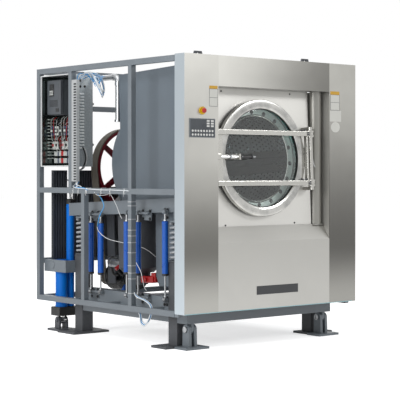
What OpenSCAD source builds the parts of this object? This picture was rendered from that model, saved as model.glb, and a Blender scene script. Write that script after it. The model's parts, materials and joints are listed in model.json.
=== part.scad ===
// Tilting industrial washer-extractor with a sprung tub, in millimetres.
// +X is to the right, +Y to the back and +Z up.
// The origin is on the floor, under the middle of the machine.
// The tub, drum, door and motor stand in a frame of their own, pitched a little front-up.

/* [Casing] */
// Width over the front casing
casing_w = 2050; // [1900:10:2200]
// Depth of the machine beyond the drum's length, for its front and its drive
drive_room = 1120; // [1080:10:1200]
// Height of the lower edge of the front sheets
casing_bottom = 316; // [300:1:340]
// Height of the upper edge of the front sheets
casing_top = 2507; // [2500:1:2600]
// Thickness of the front sheets
sheet_t = 3; // [2:0.5:4]
// Width of the left column
left_column_w = 373; // [340:1:376]
// Width of the right column
right_column_w = 342; // [300:1:342]
// Depth of the columns' side walls
column_depth = 130; // [110:1:135]
// Depth of the left column's inner wall
column_lip = 66; // [50:1:70]
// Depth of the right column's inner wall
column_wall = 128; // [110:1:130]
// Height of the header above the door bay
header_h = 262; // [220:1:270]
// Height of the lower apron's front sheet
apron_h = 589; // [560:1:600]
// Rise of the sloped shelf above the apron
shelf_rise = 133; // [110:1:140]
// Running gap between the shelf and the sprung front panel
shelf_gap = 10; // [6:1:15]
// Radius of the half-round column in the door bay
bay_post_r = 60; // [50:1:62]

/* [Frame] */
// Side of the square frame tubes
tube_w = 50; // [40:1:55]
// Wall of the square frame tubes
tube_t = 4; // [3:0.5:6]
// Height of the middle rails' underside
mid_rail_z = 1317; // [1290:1:1340]
// Height of the bottom rails' underside
low_rail_z = 290; // [280:1:300]
// Height of the rear guard rail's underside
guard_rail_z = 640; // [600:1:650]
// Height of the high rear rail's underside
high_rail_z = 2112; // [2000:1:2200]
// Distance from the rear to the upper rear stanchion's front face
stanchion_a = 588; // [560:1:620]
// Distance from the rear to the lower rear stanchion's front face
stanchion_b = 794; // [760:1:820]
// Distance from the front sheets to the full-height stanchion
stanchion_c = 736; // [700:1:780]
// Width of a lifting lug
lug_w = 115; // [90:1:130]
// Height of a lifting lug
lug_h = 64; // [60:1:80]
// Radius of a lifting lug's eye
lug_eye_r = 16; // [12:1:18]

/* [Base] */
// Side of the square foot posts
post_w = 120; // [100:1:120]
// Distance of the foot posts from the middle
post_x = 800; // [790:1:805]
// Distance from the front sheets to the middle of the front foot posts
post_front = 361; // [350:1:366]
// Distance from the rear to the middle of the rear foot posts
post_rear = 470; // [455:1:485]
// Top of the foot posts, where the springs stand
post_top = 735; // [700:1:740]
// Thickness of the floor plates
foot_plate_t = 20; // [15:1:25]
// Underside of the base beams
base_z = 215; // [212:1:225]
// Height of the base side beams
base_h = 215; // [180:1:220]
// Width of the base side beams
base_w = 110; // [90:1:115]
// Height of the rear base cross beam
rear_beam_h = 100; // [80:1:110]

/* [Tilt] */
// Distance from the front sheets to the tilt hinge's axis
tilt_setback = 220; // [215:1:225]
// Height of the tilt hinge's axis
tilt_z = 165; // [160:1:168]
// Distance of the hinge clevises from the middle
clevis_x = 787; // [775:1:790]
// Radius of the tilt pins
tilt_pin_r = 18; // [14:1:20]
// Rounding of the clevis ears
ear_r = 42; // [36:1:44]
// Thickness of the clevis ears
ear_t = 28; // [20:1:30]
// Thickness of the hinge lug between the ears
lug_t = 26; // [20:1:30]
// Distance from the rear to the lift cylinders' axis
lift_setback = 190; // [180:1:205]
// Distance of the lift cylinders from the middle
lift_x = 867; // [862:1:868]
// Height of the lift cylinders' trunnions
trunnion_z = 630; // [620:1:640]
// Height of the lift cylinders' floor pins
lift_pin_z = 100; // [95:1:105]
// Radius of a lift cylinder's barrel
lift_r = 58; // [50:1:60]
// Radius of the oil tank beside each lift cylinder
tank_r = 38; // [30:1:40]
// Radius of a lift rod
lift_rod_r = 30; // [24:1:30]

/* [Suspension] */
// Outer radius of the coil springs
spring_r = 76; // [60:1:76]
// Diameter of the spring wire
spring_wire = 22; // [16:1:24]
// Turns in a coil spring
spring_turns = 7.5; // [6:0.5:8]
// Height of a standing coil spring
spring_h = 330; // [310:1:345]
// Outer radius of a damper's barrel
damper_r = 28; // [22:1:30]
// Radius of a damper's rod
damper_rod_r = 8; // [6:1:10]
// Length of a damper's barrel
damper_len = 470; // [420:1:480]
// Height of the lower damper bar
damper_low_z = 408; // [395:1:415]

/* [Tub] */
// Pitch of the sprung assembly, front up, in degrees
pitch = 2.5; // [2:0.1:3]
// Sideways place of the drum's axis
drum_x = -85; // [-90:1:-80]
// Height of the drum's axis at the front panel
drum_z = 1634; // [1625:1:1640]
// Distance from the front sheets to the sprung front panel, at the drum's axis
panel_setback = 121; // [117:1:125]
// Outer radius of the tub
tub_r = 620; // [600:1:620]
// Wall of the tub
tub_t = 5; // [4:0.5:8]
// Distance from the drum's rear to the tub's rear edge
tub_tail = 164; // [150:1:180]
// Half width of the tub casing and of the front panel
cheek_x = 628; // [626:1:630]
// Height of the tub casing above the drum's axis
cheek_top = 830; // [800:1:832]
// Depth of the casing's lower edge below the drum's axis
skirt_drop = 1110; // [1080:1:1120]
// Radius of the drain sump
sump_r = 185; // [150:1:200]
// Wall of the drain sump
sump_t = 4; // [2:0.5:8]
// Height of the front panel's upper edge above the drum's axis
panel_up = 680; // [660:1:690]
// Depth of the front panel's lower edge below the drum's axis
panel_down = 645; // [630:1:650]
// Distance from the drum's rear to the tub casing's rear edge
cheek_tail = 10; // [0:1:30]
// Thickness of the tub casing's plates
cheek_t = 6; // [4:0.5:8]
// Side of the cradle's beams
cradle_h = 120; // [110:1:130]
// Width of the cradle's side beams
cradle_w = 100; // [90:1:104]
// Height of the cradle beams' middle, from the drum's axis
cradle_z = -396; // [-400:1:-390]
// Distance from the cradle beams' rear end to the pulleys
cradle_tail = 34; // [30:1:60]

/* [Drum] */
// Outer radius of the drum
drum_r = 580; // [540:1:585]
// Wall of the drum
drum_t = 4; // [3:0.5:6]
// Front face of the drum behind the front panel
drum_front = 50; // [44:1:60]
// Length of the drum
drum_len = 1130; // [1050:1:1150]
// Radius of the drum's mouth
mouth_r = 370; // [340:1:380]
// Height of the lifters inside the drum
lifter_h = 120; // [90:1:130]
// Radius of the drum's shaft
shaft_r = 60; // [50:1:70]
// Radius of the bearing housing
housing_r = 150; // [130:1:160]
// Radius of the drum's pulley
pulley_r = 385; // [360:1:395]
// Distance from the pulleys' front faces to the rear of the machine
pulley_setback = 239; // [230:1:250]
// Width of the pulleys' rims
pulley_w = 115; // [90:1:120]
// Radius of the motor's pulley
motor_pulley_r = 75; // [65:1:90]
// Radius of the motor's body
motor_r = 128; // [110:1:132]
// Length of the motor's body
motor_len = 330; // [280:1:350]
// Sideways place of the motor from the drum's axis
motor_x = -235; // [-260:1:-220]
// Height of the motor's axis from the drum's axis
motor_z = -1055; // [-1060:1:-1040]
// Thickness of the belts
belt_t = 12; // [8:1:14]

/* [Door] */
// Outer radius of the door ring
ring_r = 516; // [500:1:520]
// Radius of the door's window
window_r = 434; // [420:1:440]
// Thickness of the steel door ring
ring_t = 20; // [14:1:24]
// Thickness of the rubber seal behind the ring
seal_t = 46; // [40:1:48]
// Thickness of the window glass
glass_t = 15; // [10:1:18]
// Height of the door's bars
bar_h = 44; // [36:1:50]
// Depth of the door's bars
bar_d = 46; // [36:1:48]
// Height of the upper bar's middle above the drum's axis
bar_up = 220; // [200:1:230]
// Depth of the lower bar's middle below the drum's axis
bar_down = 224; // [200:1:230]
// Sideways place of the door hinge's axis, from the middle
hinge_x = 478; // [470:1:480]
// Radius of the door's hinge post
hinge_post_r = 20; // [16:1:22]
// Outer radius of the door hinge's knuckles
knuckle_r = 34; // [30:1:36]
// Radius of the door's lock bolt
bolt_r = 13; // [10:1:15]
// Travel of the door's lock bolt
bolt_travel = 30; // [20:1:32]

/* [Controls] */
// Width of the control panel
keypad_w = 282; // [260:1:300]
// Height of the control panel
keypad_h = 162; // [150:1:170]
// Radius of the stop button's base
estop_base_r = 34; // [28:1:38]
// Radius of the stop button's head
estop_r = 22; // [18:1:24]
// Travel of the stop button
estop_travel = 5; // [3:0.5:6]
// Reach of the stop button in front of the casing
estop_reach = 38; // [34:1:42]

/* [Electrics] */
// Depth of the electric cabinet
cabinet_d = 262; // [240:1:280]
// Underside of the electric cabinet
cabinet_z = 1565; // [1540:1:1580]
// Height of the electric cabinet
cabinet_h = 867; // [840:1:870]
// Wall of the electric cabinet
cabinet_t = 4; // [2:0.5:6]
// Width of the slotted cable duct
duct_w = 80; // [60:1:90]
// Depth of the slotted cable duct
duct_d = 34; // [25:1:60]
// Diameter of the water pipe
pipe_d = 54; // [32:1:56]

/* [Clearances] */
// Gap between pieces that are bolted or welded edge to edge
seat_gap = 0.3; // [0.2:0.1:0.5]
// Radial clearance of a running fit
run_gap = 0.05; // [0.02:0.01:0.1]
// Gap between moving pieces that only pass each other
free_gap = 2; // [1:0.5:4]

/* [Hidden] */
$fn = 72;

eps = 0.5;
half_w = casing_w / 2;
casing_d = drum_len + drive_room;
front_y = -casing_d / 2;
back_y = casing_d / 2;
back_reach = back_y + estop_reach;
panel_y = front_y + panel_setback;
tilt_y = front_y + tilt_setback;
lift_y = back_y - lift_setback;
post_front_y = front_y + post_front;
post_rear_y = back_y - post_rear;
post_mid_y = (post_front_y + post_rear_y) / 2;
stanchion_a_y = back_y - stanchion_a;
stanchion_b_y = back_y - stanchion_b;
stanchion_c_y = front_y + stanchion_c;
left_in = -half_w + left_column_w;
right_in = half_w - right_column_w;
frame_top = casing_top - 8;
rail_x0 = half_w - tube_w;
rail_y0 = front_y + column_depth + 5 + seat_gap;
rail_y1 = back_y - tube_w - seat_gap;
top_rail_z = frame_top - tube_w;
header_z = casing_top - header_h;
apron_top = casing_bottom + apron_h;
shelf_z = apron_top + shelf_rise;
shelf_back_y = panel_y - (drum_z - shelf_z) * tan(pitch) - shelf_gap;
base_top = base_z + base_h;
post_out = post_x + post_w / 2;
beam_out = post_out - 5;
cross_front_y = post_front_y - post_w / 2 - seat_gap - 136;
spring_seat_t = 15;
spring_foot = post_top + spring_seat_t;
spring_top = spring_foot + spring_h;
spring_mean_r = spring_r - spring_wire / 2;
beam_low = cradle_z - cradle_h / 2;
damper_x = post_x + 85;
bracket_t = 8;
// Each group of dampers: their places, their bar's ends, their bracket's ends and its arm
damper_groups = [[post_rear_y - 235, post_rear_y - 388], [post_mid_y - 79.5, post_mid_y - 247.5],
  [post_front_y + 74]];
damper_bars = [[post_rear_y - 415, post_rear_y - 208], [post_mid_y - 404, post_mid_y - 52],
  [post_front_y + 55, post_front_y + 108]];
bracket_spans = [[post_rear_y - 329, post_rear_y - 202], [post_mid_y - 404, post_mid_y - 269],
  [post_front_y + 61, post_front_y + 124]];
arm_places = [post_rear_y - 319, post_mid_y - 365, post_front_y + 93];
drum_end = drum_front + drum_len;
tub_end = drum_end + tub_tail;
cheek_end = drum_end + cheek_tail;
back_plate_y = drum_end + 80;
plate_y = 22;
plate_back = 30;
pulley_y = casing_d - panel_setback - pulley_setback;
cradle_end = pulley_y - cradle_tail;
belt_r = pulley_r + belt_t;
bay_post_y = panel_y + 4;
lug_y = front_y + 284;
lug_x = rail_x0 - 331;

// A block between two opposite corners
module block(low, high) {
  translate(low) cube(high - low);
}

// A square tube between two opposite corners, open at both ends
module tube(low, high) {
  size = high - low;
  long = max(size);
  hole = [for (s = size) s == long ? s + 2 * eps : s - 2 * tube_t];
  start = [for (s = size) s == long ? -eps : tube_t];
  translate(low) difference() {
    cube(size);
    translate(start) cube(hole);
  }
}

// The pieces of the right side and their mirror images on the left
module both_sides() {
  children();
  mirror([1, 0, 0]) children();
}

// The frame of the sprung assembly: the drum's axis is its Y axis, the panel's face its Y zero
module pitched() {
  translate([0, panel_y, drum_z]) rotate([-pitch, 0, 0]) children();
}
module on_drum() {
  pitched() translate([drum_x, 0, 0]) children();
}

// Height of the cradle beams' underside above the floor, at a depth
function beam_under(y) = drum_z + beam_low / cos(pitch) - (y - panel_y) * tan(pitch);

// A ring or disc along the Y axis
module ring_y(r_out, r_in, y0, y1) {
  $fn = r_out > 300 ? 180 : 72;
  translate([0, y0, 0]) rotate([-90, 0, 0]) difference() {
    cylinder(r = r_out, h = y1 - y0);
    if (r_in > 0) translate([0, 0, -eps]) cylinder(r = r_in, h = y1 - y0 + 2 * eps);
  }
}
module rod_y(r, y0, y1) {
  translate([0, y0, 0]) rotate([-90, 0, 0]) cylinder(r = r, h = y1 - y0);
}
module rod_x(r, x0, x1) {
  translate([x0, 0, 0]) rotate([0, 90, 0]) cylinder(r = r, h = x1 - x0);
}

// Floor pieces of the tilting mechanism
module clevis_ear(x0) {
  translate([x0, 0, 0]) rotate([90, 0, 90]) linear_extrude(ear_t) {
    translate([tilt_y, tilt_z]) circle(r = ear_r);
    polygon([[tilt_y - ear_r - 5, foot_plate_t - eps], [tilt_y + ear_r + 5, foot_plate_t - eps],
      [tilt_y + ear_r, tilt_z], [tilt_y - ear_r, tilt_z]]);
  }
}
clevis_gap = lug_t + 6;
anchor_r = 11;
anchor_x = 97;
anchor_y = 56;
clevis_plate_y = tilt_y - 30;
module hinge_brackets() color("dimgray") both_sides() difference() {
  union() {
    block([clevis_x - 125, clevis_plate_y - 83, 0], [clevis_x + 125, clevis_plate_y + 83, foot_plate_t]);
    clevis_ear(clevis_x - clevis_gap / 2 - ear_t);
    clevis_ear(clevis_x + clevis_gap / 2);
  }
  translate([0, tilt_y, tilt_z]) rod_x(tilt_pin_r + run_gap, clevis_x - 100, clevis_x + 100);
  for (sx = [-1, 1], sy = [-1, 1])
    translate([clevis_x + sx * anchor_x, clevis_plate_y + sy * anchor_y, -eps])
      cylinder(r = anchor_r, h = foot_plate_t + 2 * eps);
}
module hinge_pins() color("silver") both_sides() translate([0, tilt_y, tilt_z]) {
  reach = clevis_gap / 2 + ear_t + 6;
  rod_x(tilt_pin_r, clevis_x - reach, clevis_x + reach);
  rod_x(tilt_pin_r + 8, clevis_x + clevis_gap / 2 + ear_t + seat_gap, clevis_x + reach + 8);
}
lift_ear_gap = 66;
lift_ear_t = 18;
lift_plate = [95, 100];
module lift_feet() color("dimgray") both_sides() difference() {
  union() {
    block([lift_x - lift_plate[0], lift_y - lift_plate[1], 0],
      [lift_x + lift_plate[0], lift_y + lift_plate[1], foot_plate_t]);
    for (side = [-1, 1])
      translate([lift_x + side * (lift_ear_gap + lift_ear_t) / 2, lift_y, 0]) {
        translate([0, 0, lift_pin_z]) rod_x(34, -lift_ear_t / 2, lift_ear_t / 2);
        block([-lift_ear_t / 2, -40, foot_plate_t - eps], [lift_ear_t / 2, 40, lift_pin_z]);
      }
    translate([0, lift_y, lift_pin_z])
      rod_x(tilt_pin_r, lift_x - lift_ear_gap / 2 - 26, lift_x + lift_ear_gap / 2 + 26);
  }
  for (sx = [-1, 1], sy = [-1, 1])
    translate([lift_x + sx * 72, lift_y + sy * 76, -eps])
      cylinder(r = anchor_r, h = foot_plate_t + 2 * eps);
}

// Welded base of the machine
module base_beams() color("slategray") {
  both_sides() {
    block([beam_out - base_w, post_front_y + post_w / 2 + seat_gap, base_z],
      [beam_out, post_rear_y - post_w / 2 - seat_gap, base_top]);
    translate([clevis_x - lug_t / 2, 0, 0]) rotate([90, 0, 90]) difference() {
      linear_extrude(lug_t) {
        translate([tilt_y, tilt_z]) circle(r = ear_r - 2);
        translate([tilt_y - ear_r + 2, tilt_z]) square([2 * ear_r - 4, base_z - tilt_z - seat_gap]);
      }
      translate([tilt_y, tilt_z, -eps]) cylinder(r = tilt_pin_r + run_gap, h = lug_t + 2 * eps);
    }
  }
  block([-post_out, cross_front_y, base_z], [post_out, post_front_y - post_w / 2 - seat_gap, base_top]);
  cross_x = post_x - post_w / 2 - seat_gap;
  block([-cross_x, post_rear_y - post_w / 2, base_z], [cross_x, post_rear_y + post_w / 2, base_z + rear_beam_h]);
}
module foot_posts() color("slategray") both_sides() {
  for (y = [post_front_y, post_rear_y]) {
    block([post_x - post_w / 2, y - post_w / 2, foot_plate_t + seat_gap],
      [post_x + post_w / 2, y + post_w / 2, post_top]);
    translate([post_x, y, post_top + seat_gap]) cylinder(r = spring_r + 2, h = spring_seat_t - seat_gap);
  }
  block([post_x - 110, post_front_y - 81, 0], [post_x + 200, post_front_y + 125, foot_plate_t]);
  block([post_x - 200, post_rear_y - 125, 0], [post_x + 200, post_rear_y + 150, foot_plate_t]);
}

// Springs: each is one tube whose ends turn upright and stand square on their seats
coil_rings = 8;
coil_sides = 6;
end_rings = 3;
function coil_point(s, turns, low, high) =
  let (a = 360 * turns * s)
  [spring_mean_r * cos(a), spring_mean_r * sin(a), low + (high - low) * s];
function coil_path(height) =
  let (n = round(coil_rings * spring_turns), low = 1.6 * spring_wire, high = height - low,
    a1 = 360 * spring_turns)
  concat(
    [[spring_mean_r, -spring_wire * 0.9, 0], [spring_mean_r, -spring_wire * 0.9, spring_wire]],
    [for (i = [0:n]) coil_point(i / n, spring_turns, low, high)],
    [spring_mean_r * [cos(a1), sin(a1), 0] + spring_wire * 0.9 * [-sin(a1), cos(a1), 0]
        + [0, 0, height - spring_wire],
      spring_mean_r * [cos(a1), sin(a1), 0] + spring_wire * 0.9 * [-sin(a1), cos(a1), 0]
        + [0, 0, height]]);
function unit(v) = v / norm(v);
// Rings of a tube along a path, square to it, with the first and last ring flat on their seats
function sweep_rings(path, r, sides, flat_ends) =
  let (last = len(path) - 1)
  [for (i = [0:last])
    let (t = (flat_ends && (i <= 1 || i >= last - 1)) ? [0, 0, 1]
        : unit(path[min(i + 1, last)] - path[max(i - 1, 0)]),
      out = unit([path[i][0], path[i][1], 0] + [0.001, 0, 0]),
      side = unit(cross(t, out)),
      up = cross(side, t))
    for (k = [0:sides - 1])
      path[i] + r * (cos(360 * k / sides) * up + sin(360 * k / sides) * side)];
function sweep_faces(rings, sides) = concat(
  [for (i = [0:rings - 2], k = [0:sides - 1]) [i * sides + k, (i + 1) * sides + (k + 1) % sides,
    i * sides + (k + 1) % sides]],
  [for (i = [0:rings - 2], k = [0:sides - 1]) [i * sides + k, (i + 1) * sides + k,
    (i + 1) * sides + (k + 1) % sides]],
  [[for (k = [0:sides - 1]) k]],
  [[for (k = [0:sides - 1]) rings * sides - 1 - k]]);
module swept(path, r, sides, flat_ends) {
  polyhedron(points = sweep_rings(path, r, sides, flat_ends), faces = sweep_faces(len(path), sides));
}
spring_gap = min([for (i = [0:20]) norm(
  coil_point(0.3 + i / 400, spring_turns, 0, spring_h - 3.2 * spring_wire)
  - coil_point(0.3 + i / 400 + 1 / spring_turns, spring_turns, 0, spring_h - 3.2 * spring_wire))])
  - spring_wire;
echo(least_gap_between_spring_turns = spring_gap);
module coil_springs() color("lightgray") for (sx = [-1, 1], y = [post_front_y, post_rear_y])
  translate([sx * post_x, y, spring_foot])
    swept(coil_path(spring_h - seat_gap), spring_wire / 2, coil_sides, true);

// Tube frame of the machine: each tube is butted against its neighbours
module rails_y(z, w = tube_w) tube([rail_x0, rail_y0, z], [half_w, rail_y1, z + w]);
module upright(x, y, z0, z1) tube([x, y, z0 + seat_gap], [x + tube_w, y + tube_w, z1 - seat_gap]);
module outriggers() for (y = [post_front_y + 124, post_mid_y + 55, post_rear_y - post_w / 2 - 65])
  tube([beam_out + seat_gap, y, low_rail_z], [rail_x0 - seat_gap, y + tube_w, low_rail_z + tube_w]);
module side_frames() color("slategray") {
  both_sides() {
    for (z = [top_rail_z, mid_rail_z, low_rail_z]) rails_y(z);
    upright(rail_x0, stanchion_b_y, low_rail_z + tube_w, mid_rail_z);
    upright(rail_x0, stanchion_c_y, low_rail_z + tube_w, mid_rail_z);
    upright(rail_x0, stanchion_c_y, mid_rail_z + tube_w, top_rail_z);
    upright(rail_x0, stanchion_a_y, mid_rail_z + tube_w, top_rail_z);
    tube([rail_x0 - sheet_t, rail_y0 - tube_w - seat_gap, low_rail_z],
      [half_w - sheet_t - seat_gap, rail_y0 - seat_gap, frame_top]);
    outriggers();
  }
}
module rear_frame() color("slategray") {
  both_sides() tube([rail_x0, back_y - tube_w, low_rail_z], [half_w, back_y, frame_top]);
  inner_x = rail_x0 - seat_gap;
  for (z = [top_rail_z, high_rail_z, mid_rail_z, guard_rail_z, low_rail_z])
    tube([-inner_x, back_y - tube_w, z], [inner_x, back_y, z + tube_w]);
}

// Front casing
module column_sheet(width, lip) {
  block([0, front_y, casing_bottom], [width, front_y + sheet_t, casing_top]);
  block([width - sheet_t, front_y, casing_bottom], [width, front_y + column_depth, casing_top]);
  block([0, front_y, casing_bottom], [sheet_t, front_y + lip, casing_top]);
}
module left_column() color("silver") difference() {
  translate([left_in, 0, 0]) mirror([1, 0, 0]) column_sheet(left_column_w, column_lip);
  block([left_in - 2 * sheet_t, front_y + sheet_t, drum_z - 60], [left_in + 1, panel_y, drum_z + 70]);
}
bay_x = right_in - bay_post_r - 3;
module right_column() color("silver") {
  translate([right_in, 0, 0]) column_sheet(right_column_w, column_wall);
  translate([bay_x, bay_post_y, shelf_z + seat_gap]) difference() {
    cylinder(r = bay_post_r, h = header_z - shelf_z - 2 * seat_gap);
    translate([0, 0, -eps]) cylinder(r = bay_post_r - sheet_t, h = header_z - shelf_z + 2 * eps);
    translate([-2 * bay_post_r, 10, -eps]) cube([4 * bay_post_r, 2 * bay_post_r, casing_top]);
  }
}
module header_panel() color("silver") {
  x0 = left_in + seat_gap;
  x1 = right_in - seat_gap;
  block([x0, front_y, header_z], [x1, front_y + sheet_t, casing_top]);
  block([x0, front_y, header_z], [x1, panel_y + 6, header_z + sheet_t]);
  block([x0, front_y, casing_top - sheet_t], [x1, panel_y - 20, casing_top]);
}
module apron_panel() color("silver") {
  x0 = left_in + seat_gap;
  x1 = right_in - seat_gap;
  translate([x0, 0, 0]) rotate([90, 0, 90]) linear_extrude(x1 - x0) polygon([
    [front_y, casing_bottom], [front_y, apron_top], [shelf_back_y, shelf_z],
    [shelf_back_y, shelf_z - 1.6 * sheet_t], [front_y + sheet_t, apron_top - sheet_t],
    [front_y + sheet_t, casing_bottom]]);
  block([right_in - 2 * bay_post_r - 14, bay_post_y - bay_post_r - 2, shelf_z - 2 * sheet_t],
    [x1, bay_post_y + 12, shelf_z - seat_gap]);
}
module lifting_lugs() color("dimgray") both_sides() translate([lug_x, lug_y, frame_top]) {
  translate([0, 8, 0]) rotate([90, 0, 0]) difference() {
    linear_extrude(16) polygon([[-lug_w / 2, seat_gap], [lug_w / 2, seat_gap],
      [lug_w * 0.34, lug_h], [-lug_w * 0.34, lug_h]]);
    translate([0, lug_h / 2 + 2, -eps]) cylinder(r = lug_eye_r, h = 16 + 2 * eps);
  }
  block([-lug_w / 2, -tube_w / 2, -15], [rail_x0 - lug_x - seat_gap, tube_w / 2, 0]);
}
// Blank plates: a name plate on the apron and labels beside the header
module blank_plate(low, high, thick) block([low[0], front_y - thick, low[1]], [high[0], front_y - 0.05, high[1]]);
module blank_plates() {
  name_x = (left_in + right_in) / 2 - 228;
  color("dimgray") blank_plate([name_x, casing_bottom + 125], [name_x + 497, casing_bottom + 201], 2);
  color("gold") blank_plate([left_in - 101, header_z - 177], [left_in - 9, header_z - 1], 1);
  color("gold") blank_plate([right_in + 13, header_z - 166], [right_in + 130, header_z + 7], 1);
  color("white") blank_plate([right_in + 4, header_z - 371], [right_in + 152, header_z - 167], 1);
}

// Controls on the left column
keypad_x = left_in - 321;
keypad_z = drum_z + 168;
bezel_t = 6;
module control_bezel() color("gray") {
  block([keypad_x, front_y - bezel_t, keypad_z],
    [keypad_x + keypad_w, front_y - 0.05, keypad_z + keypad_h]);
}
module control_display() color("darkslategray")
  block([keypad_x + 22, front_y - bezel_t - 2, keypad_z + keypad_h - 78],
    [keypad_x + keypad_w * 0.52, front_y - bezel_t - 0.05, keypad_z + keypad_h - 16]);
key_pitch = 31;
module control_keys() color("white") {
  for (row = [0, 1], col = [0:7])
    translate([keypad_x + 32 + col * key_pitch, front_y - bezel_t - 2, keypad_z + 24 + row * 32])
      rod_y(10, 0, 1.95);
  for (row = [0:2], col = [0, 1])
    translate([keypad_x + keypad_w * 0.66 + col * 46, front_y - bezel_t - 2, keypad_z + 90 + row * 22])
      block([0, 0, 0], [30, 1.95, 15]);
}
estop_at = [left_in - 179, front_y, drum_z + 396];
module estop_base() color("gold") translate(estop_at) difference() {
  union() {
    ring_y(estop_base_r, 0, -8, -0.05);
    rod_y(14, estop_travel + 18 - estop_reach, -7);
  }
  ring_y(7 + run_gap, 0, -estop_reach, 1);
}
module estop_button() color("red") translate(estop_at) {
  rod_y(7, -24, -estop_travel - 0.8);
  rotate([90, 0, 0]) rotate_extrude() polygon([[0, estop_reach - 17], [estop_r - 3, estop_reach - 17],
    [estop_r, estop_reach - 14], [estop_r, estop_reach - 6], [estop_r - 4, estop_reach - 1.5],
    [estop_r - 9, estop_reach], [0, estop_reach]]);
}

// Electric cabinet between two stanchions at the rear left
cab_x0 = -half_w + 15;
cab_x1 = cab_x0 + cabinet_d;
cab_y0 = stanchion_a_y + tube_w + seat_gap;
cab_y1 = rail_y1;
cab_z1 = cabinet_z + cabinet_h;
module electric_cabinet() color("silver") difference() {
  block([cab_x0, cab_y0, cabinet_z], [cab_x1, cab_y1, cab_z1]);
  block([cab_x0 - eps, cab_y0 + cabinet_t, cabinet_z + cabinet_t],
    [cab_x1 - cabinet_t, cab_y1 - cabinet_t, cab_z1 - cabinet_t]);
}
gear_x = cab_x1 - cabinet_t - seat_gap;
module inverter() color("dimgray")
  block([gear_x - 180, cab_y1 - 251, cab_z1 - 375], [gear_x, cab_y1 - 20, cab_z1 - 40]);
module gear_row(count, z0, z1, depth) {
  step = (cab_y1 - cab_y0 - 44) / count;
  for (i = [0:count - 1])
    block([gear_x - depth, cab_y0 + 28 + i * step, z0], [gear_x, cab_y0 + 16 + (i + 1) * step, z1]);
}
module contactors() color("gray") {
  gear_row(6, cabinet_z + 300, cabinet_z + 385, 90);
  gear_row(8, cabinet_z + 165, cabinet_z + 240, 80);
  for (z = [cabinet_z + 40, cabinet_z + 108])
    block([gear_x - 60, cab_y0 + 24, z], [gear_x, cab_y1 - 24, z + 38]);
  block([gear_x - 70, cab_y0 + 14, cabinet_z + 410], [gear_x, cab_y1 - 14, cabinet_z + 450]);
}
// The slotted duct stands on the front face of the stanchion before the cabinet
duct_x = 1 - rail_x0 - tube_w;
duct_y = stanchion_a_y - seat_gap;
module cable_duct() color("lightgray")
  block([duct_x, duct_y - duct_w, mid_rail_z + tube_w + 59], [duct_x + duct_d, duct_y, cab_z1 - 64]);
// The cable bundle leaves the cabinet's front wall, hangs in a loop and ends over its roof
loom_shape = [[0, 0, -58], [0, -13, -58], [2, -34, -36], [6, -64, -7], [15, -107, 3], [30, -147, -22],
  [45, -182, -78], [65, -207, -132], [90, -212, -168], [120, -192, -168], [145, -162, -132],
  [165, -117, -82], [172, -67, -30], [158, -22, 6], [122, 20, 20], [80, 63, 18]];
loom_route = [for (p = loom_shape) [cab_x0 + 130, cab_y0 - seat_gap, cab_z1] + p];
loom_r = 11;
module wiring_loom() color("steelblue") swept(loom_route, loom_r, 8, false);

// Ribbed guard panels on the rear rails
guard_lap = 214;
guard_h = mid_rail_z + guard_lap - guard_rail_z - 40;
rib_pitch = 29;
module ribbed_guard(x0, x1, h = guard_h) {
  y1 = rail_y1;
  z0 = guard_rail_z + 40;
  block([x0, y1 - 4, z0], [x1, y1, z0 + h]);
  for (x = [x0 + rib_pitch / 2:rib_pitch:x1 - rib_pitch / 3])
    block([x - rib_pitch * 0.3, y1 - 22, z0], [x + rib_pitch * 0.3, y1 - 4 + eps, z0 + h]);
}
module rear_guards() color("darkslategray") {
  for (span = [[259, 85], [574, 387]]) {
    ribbed_guard(span[1] - rail_x0, span[0] - rail_x0);
    ribbed_guard(rail_x0 - span[0], rail_x0 - span[1]);
  }
  // The low ones between and beside these end under the middle rail
  low_h = mid_rail_z - guard_rail_z - 50;
  ribbed_guard(574 - rail_x0 + seat_gap, rail_x0 - 574 - seat_gap, low_h);
  ribbed_guard(387 - rail_x0 - 2 * rib_pitch, 387 - rail_x0 - seat_gap, low_h);
  ribbed_guard(rail_x0 - 387 + seat_gap, rail_x0 - 387 + 2 * rib_pitch, low_h);
}

// Lift cylinders, their trunnion brackets and rods
arm_in = lift_r + 8;
arm_t = 36;
arm_z0 = trunnion_z - 65;
arm_z1 = guard_rail_z + 38;
trunnion_r = 20;
tank_x = -lift_r - tank_r - 5;
yoke_in = tank_x - tank_r - 8;
module lift_brackets() color("slategray") both_sides() difference() {
  y0 = post_rear_y + post_w / 2 + seat_gap;
  union() {
    block([lift_x + yoke_in - 8 - arm_t, y0, arm_z0], [lift_x + arm_in + arm_t, y0 + 20, arm_z1]);
    for (x0 = [lift_x + yoke_in - 8 - arm_t, lift_x + arm_in])
      block([x0, y0, arm_z0], [x0 + arm_t, rail_y1, arm_z1]);
  }
  translate([0, lift_y, trunnion_z])
    rod_x(trunnion_r + run_gap, lift_x + yoke_in - 9 - arm_t, lift_x + arm_in + arm_t + 1);
}
gland_z = lift_pin_z + 52;
barrel_z0 = gland_z + 72;
barrel_z1 = trunnion_z + 46;
tank_z1 = trunnion_z + 576;
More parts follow.
